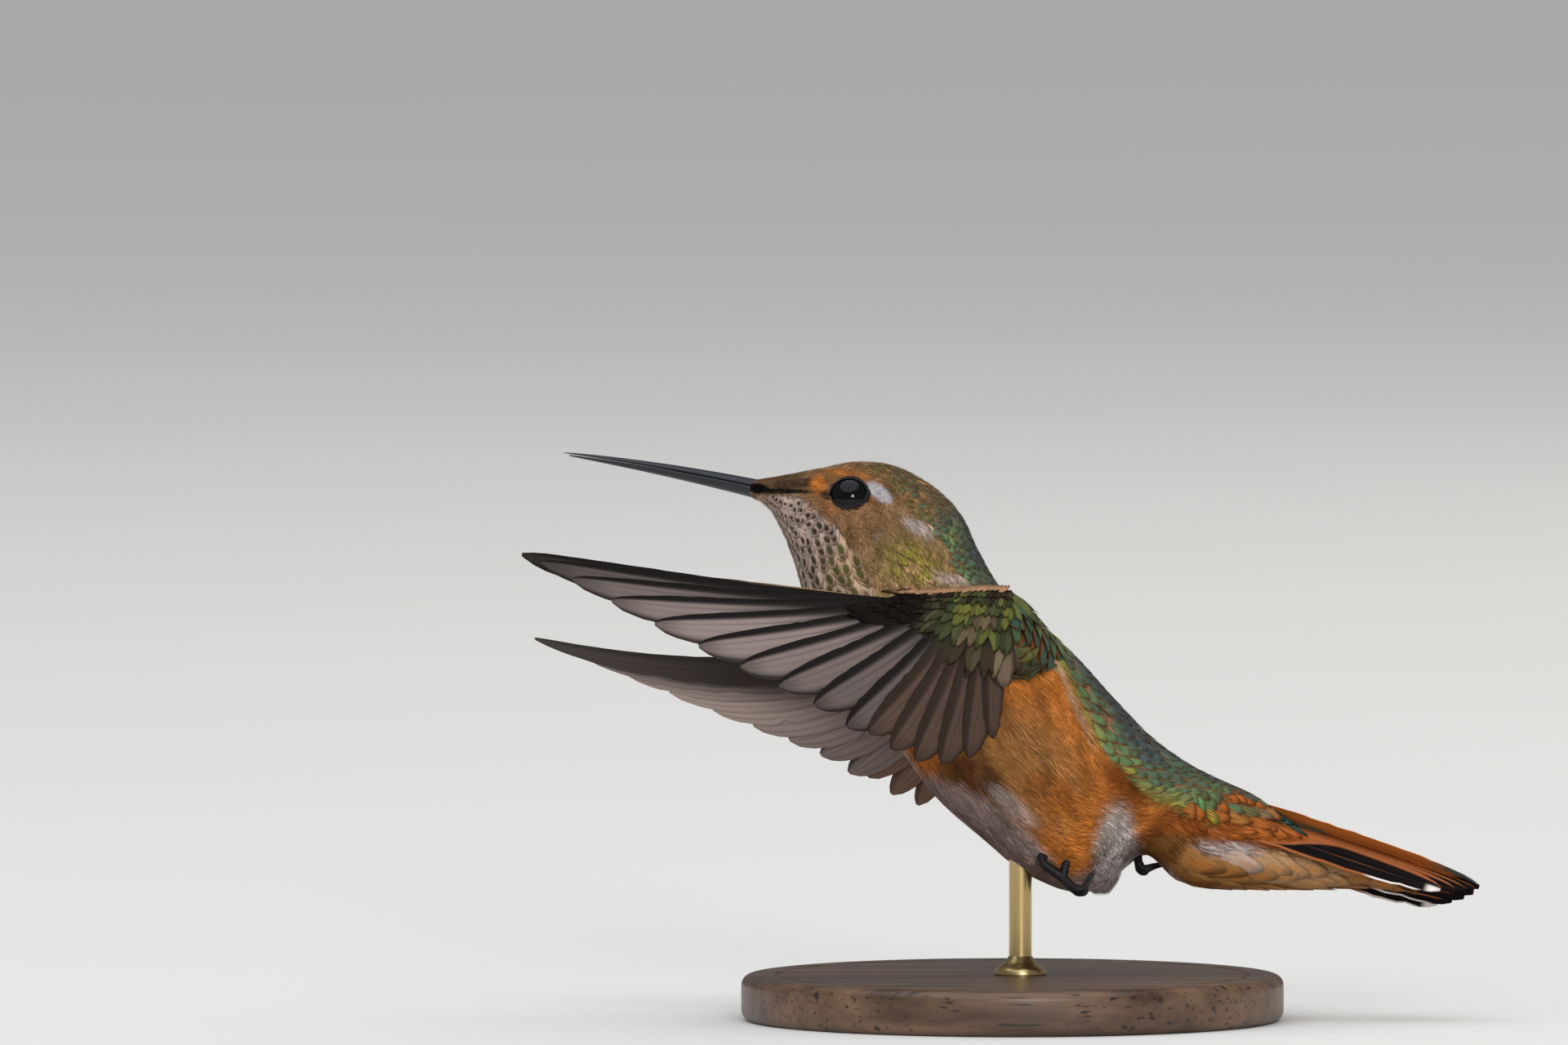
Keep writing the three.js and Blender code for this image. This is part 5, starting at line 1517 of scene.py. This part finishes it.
class Graph:
    """A material's node tree, with short words for the nodes used here."""

    def __init__(self, name):
        self.material = bpy.data.materials.new(name)
        self.material.use_nodes = True
        self.tree = self.material.node_tree
        self.shader = self.tree.nodes["Principled BSDF"]

    def node(self, kind, **settings):
        made = self.tree.nodes.new(kind)
        for key, value in settings.items():
            setattr(made, key, value)
        return made

    def link(self, source, target):
        self.tree.links.new(source, target)

    def feed(self, socket, value):
        if isinstance(value, bpy.types.NodeSocket):
            self.link(value, socket)
        else:
            socket.default_value = value

    def math(self, operation, *values):
        made = self.node("ShaderNodeMath", operation=operation)
        for socket, value in zip(made.inputs, values):
            self.feed(socket, value)
        return made.outputs[0]

    def times(self, first, *others):
        for other in others:
            first = self.math("MULTIPLY", first, other)
        return first

    def minus(self, first, second):
        return self.math("SUBTRACT", first, second)

    def scaled(self, value, by, plus):
        """value times by, plus a number."""
        return self.math("MULTIPLY_ADD", value, by, plus)

    def distance(self, across, along):
        return self.math("SQRT", self.math("ADD", self.times(across, across), self.times(along, along)))

    def ramp(self, value, low, high, to_low=0.0, to_high=1.0):
        made = self.node("ShaderNodeMapRange", interpolation_type="SMOOTHSTEP")
        for socket, given in zip(made.inputs, (value, low, high, to_low, to_high)):
            self.feed(socket, given)
        return made.outputs[0]

    def blend(self, amount, first, second):
        made = self.node("ShaderNodeMix", data_type="RGBA")
        for key, value in ((0, amount), (6, first), (7, second)):
            if isinstance(value, tuple):
                value = (*value, 1.0)[:4]
            self.feed(made.inputs[key], value)
        return made.outputs[2]

    def attribute(self, name, output="Color"):
        return self.node("ShaderNodeAttribute", attribute_name=name).outputs[output]

    def vane(self):
        """Places on a feather: across it, along it, and 1 on its underside."""
        place = self.node("ShaderNodeUVMap", uv_map="vane").outputs[0]
        parted = self.node("ShaderNodeSeparateXYZ")
        self.link(place, parted.inputs[0])
        under = self.math("GREATER_THAN", parted.outputs[0], 1.5)
        across = self.scaled(under, -2.0, parted.outputs[0])
        return across, parted.outputs[1], under

    def streaks(self, x, y, fine, long):
        """Noise drawn out along a feather."""
        place = self.node("ShaderNodeCombineXYZ")
        self.link(self.times(x, fine), place.inputs[0])
        self.link(self.times(y, long), place.inputs[1])
        self.link(self.attribute("centre"), place.inputs[2])
        made = self.node("ShaderNodeTexNoise")
        self.link(place.outputs[0], made.inputs["Vector"])
        made.inputs["Scale"].default_value = 1.0
        made.inputs["Detail"].default_value = 3.0
        return made.outputs["Fac"]

    def shade(self, colour, amount):
        tone = self.node("ShaderNodeVectorMath", operation="SCALE")
        self.link(colour, tone.inputs[0])
        self.link(amount, tone.inputs["Scale"])
        return tone.outputs[0]

    def noise(self, scale, detail=3.0, rough=0.5, stretch=None):
        place = self.node("ShaderNodeTexCoord").outputs["Object"]
        if stretch:
            mapping = self.node("ShaderNodeMapping")
            self.link(place, mapping.inputs[0])
            mapping.inputs["Scale"].default_value = stretch
            place = mapping.outputs[0]
        made = self.node("ShaderNodeTexNoise")
        self.link(place, made.inputs["Vector"])
        made.inputs["Scale"].default_value = scale
        made.inputs["Detail"].default_value = detail
        made.inputs["Roughness"].default_value = rough
        return made.outputs["Fac"]

    def bump(self, height, strength, distance):
        made = self.node("ShaderNodeBump")
        made.inputs["Strength"].default_value = strength
        made.inputs["Distance"].default_value = distance
        self.link(height, made.inputs["Height"])
        self.link(made.outputs[0], self.shader.inputs["Normal"])

    def barbs(self, x, y, rate, slant):
        """Fine lines that run out and up from the shaft: a wave from 0 to 1."""
        off = self.math("ABSOLUTE", self.minus(x, 0.5))
        run = self.minus(self.times(y, rate), self.times(off, slant))
        wave = self.math("SINE", self.times(run, 2 * math.pi))
        return self.scaled(wave, 0.5, 0.5)

    def finish(self, colour, roughness, **constants):
        self.feed(self.shader.inputs["Base Color"], colour)
        self.feed(self.shader.inputs["Roughness"], roughness)
        for key, value in constants.items():
            self.feed(self.shader.inputs[key.replace("_", " ")], value)
        return self.material


def plumage_finish():
    """Body feathers: a gleaming centre inside a softer edge, with fine barbs across."""
    g = Graph("plumage")
    x, y, _ = g.vane()
    across = g.times(g.minus(x, 0.5), 2.8)
    off = g.minus(y, 0.76)
    along = g.math("MAXIMUM", g.times(off, 4.4), g.times(off, -2.2))
    reach = g.distance(across, along)
    outer = g.ramp(g.minus(reach, g.attribute("disc", "Fac")), -0.26, 0.18)
    colour = g.blend(outer, g.attribute("centre"), g.attribute("edge"))
    barbs = g.barbs(x, y, 26.0, 15.0)
    speck = g.noise(4200.0, 2.0, 0.6)
    shade = g.times(g.scaled(barbs, 0.2, 0.88), g.scaled(speck, 0.6, 0.7))
    root = g.ramp(y, 0.0, 0.42, 0.72, 1.0)
    gleam = g.times(g.attribute("gleam", "Fac"), g.minus(1.0, outer))
    g.bump(barbs, 0.3, 0.00003)
    return g.finish(g.shade(colour, g.times(shade, root)), g.scaled(gleam, -0.3, 0.66),
                    Metallic=gleam, Specular_IOR_Level=0.04)


def skin_finish():
    g = Graph("skin")
    speck = g.noise(1500.0)
    g.bump(speck, 0.6, 0.0001)
    return g.finish(g.shade(g.attribute("centre"), g.scaled(speck, 0.8, 0.4)), 0.85,
                    Specular_IOR_Level=0.1)


def vane_finish():
    """Flight feathers: a dark front edge, shaft and root, a pale band on either side of the shaft, and a
    dusky underside, paler to the tip and made brighter overall: painted light for the far wing in shade.
    The root's dark is partly painted shade under the coverts."""
    g = Graph("flight_vane")
    x, y, under = g.vane()
    streak = g.streaks(x, y, 9.0, 0.8)
    band = g.times(g.ramp(g.scaled(streak, 0.24, x), 0.28, 0.52),
                   g.ramp(g.scaled(streak, 0.2, x), 0.86, 1.08, 1.0, 0.12))
    # The attribute gleam holds here how far the dark root reaches: near the root the pale band fades out,
    # partly the root's own dark and partly painted shade under the coverts.
    run = g.scaled(g.attribute("gleam", "Fac"), -0.24, g.scaled(streak, 0.3, y))
    band = g.times(band, g.ramp(run, 0.3, 0.68, 0.06, 1.0))
    band = g.times(band, g.ramp(y, 0.86, 1.0, 1.0, 0.5))
    # On the underside the pale grows towards the tip, partly as painted light for the far wing in shade.
    flat = g.times(g.scaled(streak, 0.5, 0.5), g.ramp(y, 0.35, 0.85, 0.2, 1.0))
    flat = g.times(flat, g.ramp(g.scaled(streak, 0.24, x), 0.3, 0.6, 0.35, 1.0))
    amount = g.math("ADD", g.times(band, g.minus(1.0, under)), g.times(flat, under))
    colour = g.blend(amount, g.attribute("centre"), g.attribute("edge"))
    shaft = g.times(g.ramp(x, 0.48, 0.497), g.ramp(x, 0.503, 0.52, 1.0, 0.0))
    colour = g.blend(g.times(shaft, 0.4), colour, SHAFT)
    margin = g.times(g.ramp(x, 0.03, 0.12, 1.0, 0.0), g.ramp(y, 0.05, 0.5, 1.0, 0.0))
    colour = g.blend(g.times(margin, g.attribute("disc", "Fac")), colour, TAWNY)
    barbs = g.barbs(x, y, 95.0, 26.0)
    shade = g.times(g.scaled(barbs, 0.1, 0.94), g.scaled(streak, 0.7, 0.66))
    # Painted light: undersides are made 2.3 times brighter, for the far wing, which lies in shade.
    shade = g.times(shade, g.scaled(under, 1.3, 1.0))
    g.bump(barbs, 0.15, 0.00002)
    return g.finish(g.shade(colour, shade), 0.6, Specular_IOR_Level=0.08)


def tail_finish():
    """Tail feathers by number. The middle pair are rufous with a dark streak and a dusky green tip; the
    others are rufous at the base, then black from the outer edge in, the outer ones with a white tip."""
    g = Graph("tail_vane")
    x, y, _ = g.vane()
    parted = g.node("ShaderNodeSeparateColor")
    g.link(g.attribute("edge"), parted.inputs[0])
    number = parted.outputs[0]
    streak = g.streaks(x, y, 9.0, 0.8)
    middle = g.ramp(number, 0.05, 0.15, 1.0, 0.0)
    others = g.minus(1.0, middle)
    edge_from = g.ramp(y, 0.3, 0.62, 1.02, 0.2)
    black = g.ramp(g.minus(g.scaled(streak, 0.12, x), edge_from), 0.0, 0.1)
    margin = g.times(g.ramp(x, 0.92, 0.95), g.ramp(y, 0.9, 0.94, 1.0, 0.0))
    black = g.times(black, g.minus(1.0, margin))
    lines = g.times(g.ramp(streak, 0.56, 0.66), g.ramp(y, 0.6, 0.9, 0.6, 0.1))
    black = g.times(black, g.minus(1.0, lines))
    off = g.times(g.minus(x, 0.56), 4.6)
    run = g.times(g.minus(y, 0.4), 9.0)
    lens = g.ramp(g.distance(off, run), 0.8, 1.15, 1.0, 0.0)
    tip = g.ramp(g.scaled(streak, 0.05, y), 0.9, 0.97)
    dark = g.math("ADD", g.times(middle, g.math("MAXIMUM", lens, tip)), g.times(others, black))
    colour = g.blend(dark, g.attribute("centre"), BLACK)
    colour = g.blend(g.times(middle, lens, 0.75), colour, TEAL)
    dusky = g.times(middle, g.ramp(y, 0.8, 0.9), g.ramp(x, 0.35, 0.1))
    colour = g.blend(dusky, colour, (0.09, 0.1, 0.09))
    white_from = g.scaled(number, -0.24, 1.185)
    white = g.times(g.ramp(g.minus(y, white_from), -0.01, 0.02), g.ramp(number, 0.6, 0.7))
    white = g.times(white, g.ramp(x, 0.4, 0.7))
    pale_edge = g.times(margin, g.ramp(y, 0.7, 0.76), g.ramp(number, 0.6, 0.7))
    colour = g.blend(g.math("MAXIMUM", white, pale_edge), colour, WHITE)
    barbs = g.barbs(x, y, 80.0, 22.0)
    shade = g.times(g.scaled(barbs, 0.12, 0.93), g.scaled(streak, 0.8, 0.6))
    g.bump(barbs, 0.15, 0.00002)
    return g.finish(g.shade(colour, shade), 0.65, Specular_IOR_Level=0.02)


def horn_finish():
    g = Graph("bill_horn")
    streak = g.noise(700.0, 4.0, 0.6, (0.12, 1.0, 1.0))
    colour = g.blend(streak, (0.005, 0.006, 0.008), (0.02, 0.023, 0.03))
    g.bump(streak, 0.2, 0.00003)
    return g.finish(colour, g.scaled(streak, 0.2, 0.2), Specular_IOR_Level=0.4)


def lid_finish():
    g = Graph("eye_lid")
    speck = g.noise(3500.0)
    g.bump(speck, 0.5, 0.00003)
    return g.finish(g.shade(g.attribute("centre"), g.scaled(speck, 0.8, 0.6)), 0.5,
                    Specular_IOR_Level=0.25)


def eye_finish():
    g = Graph("eye_wet")
    speck = g.noise(900.0)
    colour = g.blend(speck, (0.0015, 0.0014, 0.0016), (0.004, 0.0035, 0.004))
    return g.finish(colour, 0.06, Specular_IOR_Level=0.22)


def scute_finish():
    g = Graph("foot_skin")
    speck = g.noise(2500.0)
    colour = g.blend(speck, (0.003, 0.0025, 0.003), (0.014, 0.012, 0.012))
    g.bump(speck, 0.5, 0.00004)
    return g.finish(colour, 0.45, Specular_IOR_Level=0.3)


def wood_finish():
    g = Graph("dark_wood")
    grain = g.noise(260.0, 6.0, 0.62, (0.07, 1.0, 1.0))
    pores = g.noise(2400.0, 2.0, 0.5, (0.06, 1.0, 1.0))
    colour = g.blend(g.ramp(grain, 0.3, 0.7), (0.045, 0.022, 0.012), (0.15, 0.082, 0.045))
    colour = g.blend(g.ramp(pores, 0.58, 0.7), colour, (0.02, 0.01, 0.006))
    g.bump(pores, 0.25, 0.00005)
    return g.finish(colour, g.scaled(grain, 0.2, 0.28), Specular_IOR_Level=0.5)


def brass_finish():
    g = Graph("brushed_brass")
    brushed = g.noise(3000.0, 2.0, 0.5, (1.0, 1.0, 0.04))
    colour = g.blend(brushed, (0.5, 0.36, 0.14), (0.72, 0.55, 0.27))
    return g.finish(colour, g.scaled(brushed, 0.2, 0.2), Metallic=1.0)


def floor_finish():
    g = Graph("pale_floor")
    speck = g.noise(3.0)
    colour = g.blend(speck, (0.6, 0.585, 0.56), (0.63, 0.615, 0.59))
    return g.finish(colour, 0.8)


materials = {
    "plumage": plumage_finish(), "skin": skin_finish(), "vane": vane_finish(), "tail": tail_finish(),
    "horn": horn_finish(), "lid": lid_finish(), "eye": eye_finish(), "scute": scute_finish(),
    "wood": wood_finish(), "brass": brass_finish(), "floor": floor_finish(),
}

# ---------------------------------------------------------------- floor, light and camera

FLOOR_HALF = 6.0
# Lamps: place, size, power and colour.
LAMPS = (
    ("sky", (-0.15, -0.35, 1.3), 2.0, 14.0, (0.88, 0.94, 1.0)),
    ("window", (-1.1, -1.3, 0.8), 1.0, 8.0, (1.0, 0.97, 0.93)),
    ("rim", (0.8, 0.9, 0.8), 0.8, 5.0, (1.0, 0.94, 0.85)),
    ("glint", (0.25, -1.5, 0.5), 0.4, 8.0, (1.0, 0.98, 0.95)),
)
LIT = (-0.005, 0, 0.035)         # what the lamps point at
WALLS = (0.86, 0.88, 0.91, 1)
WALLS_POWER, WALLS_MIRRORED = 0.78, 0.23


def make_room():
    """A plain pale floor under soft light from above, with a weaker fill from the camera's side. Only
    the sky and the glint are mirrored, and glossy surfaces see a dimmer room."""
    mesh = bpy.data.meshes.new("floor")
    far = FLOOR_HALF
    mesh.from_pydata([(-far, -far, 0), (far, -far, 0), (far, far, 0), (-far, far, 0)], [], [(0, 1, 2, 3)])
    mesh.materials.append(materials["floor"])
    floor = bpy.data.objects.new("floor", mesh)
    bpy.context.scene.collection.objects.link(floor)
    for name, place, size, power, colour in LAMPS:
        light = bpy.data.lights.new(name, "AREA")
        light.shape, light.size, light.energy, light.color = "DISK", size, power, colour
        lamp = bpy.data.objects.new(name, light)
        lamp.location = place
        lamp.visible_glossy = name in ("sky", "glint")
        lamp.rotation_euler = (Vector(LIT) - Vector(place)).to_track_quat("-Z", "Y").to_euler()
        bpy.context.scene.collection.objects.link(lamp)
    world = bpy.data.worlds.new("room")
    world.use_nodes = True
    tree = world.node_tree
    tree.nodes["Background"].inputs[0].default_value = WALLS
    path = tree.nodes.new("ShaderNodeLightPath")
    dimmed = tree.nodes.new("ShaderNodeMath")
    dimmed.operation = "MULTIPLY_ADD"
    tree.links.new(path.outputs["Is Glossy Ray"], dimmed.inputs[0])
    dimmed.inputs[1].default_value = WALLS_MIRRORED - WALLS_POWER
    dimmed.inputs[2].default_value = WALLS_POWER
    tree.links.new(dimmed.outputs[0], tree.nodes["Background"].inputs[1])
    bpy.context.scene.world = world
    bpy.context.scene.view_settings.view_transform = "Standard"


def make_camera():
    """A long lens a little above the bird's own level, square to its left side."""
    rise, away = 2.5 * DEG, 2.0
    target = Vector((-0.02014, 0.0, 0.0439))
    back = Vector((0, -math.cos(rise), math.sin(rise)))
    view_width = 0.13813
    data = bpy.data.cameras.new("camera")
    data.sensor_width = 36.0
    data.lens = data.sensor_width * away / view_width
    data.clip_start, data.clip_end = 0.05, 50.0
    camera = bpy.data.objects.new("camera", data)
    camera.location = target + back * away
    camera.rotation_euler = (-back).to_track_quat("-Z", "Y").to_euler()
    bpy.context.scene.collection.objects.link(camera)
    bpy.context.scene.camera = camera


# ---------------------------------------------------------------- the model

make_camera()
make_room()
make_skin()
contour_coat()
barb_coat()
make_eyes()
make_bill()
for side_name, way in SIDES:
    make_wing(side_name, way)
    make_coverts(side_name, way)
    make_shoulder(side_name, way)
    make_thigh(side_name, way)
    make_foot(side_name, way)
make_tail()
make_stand()
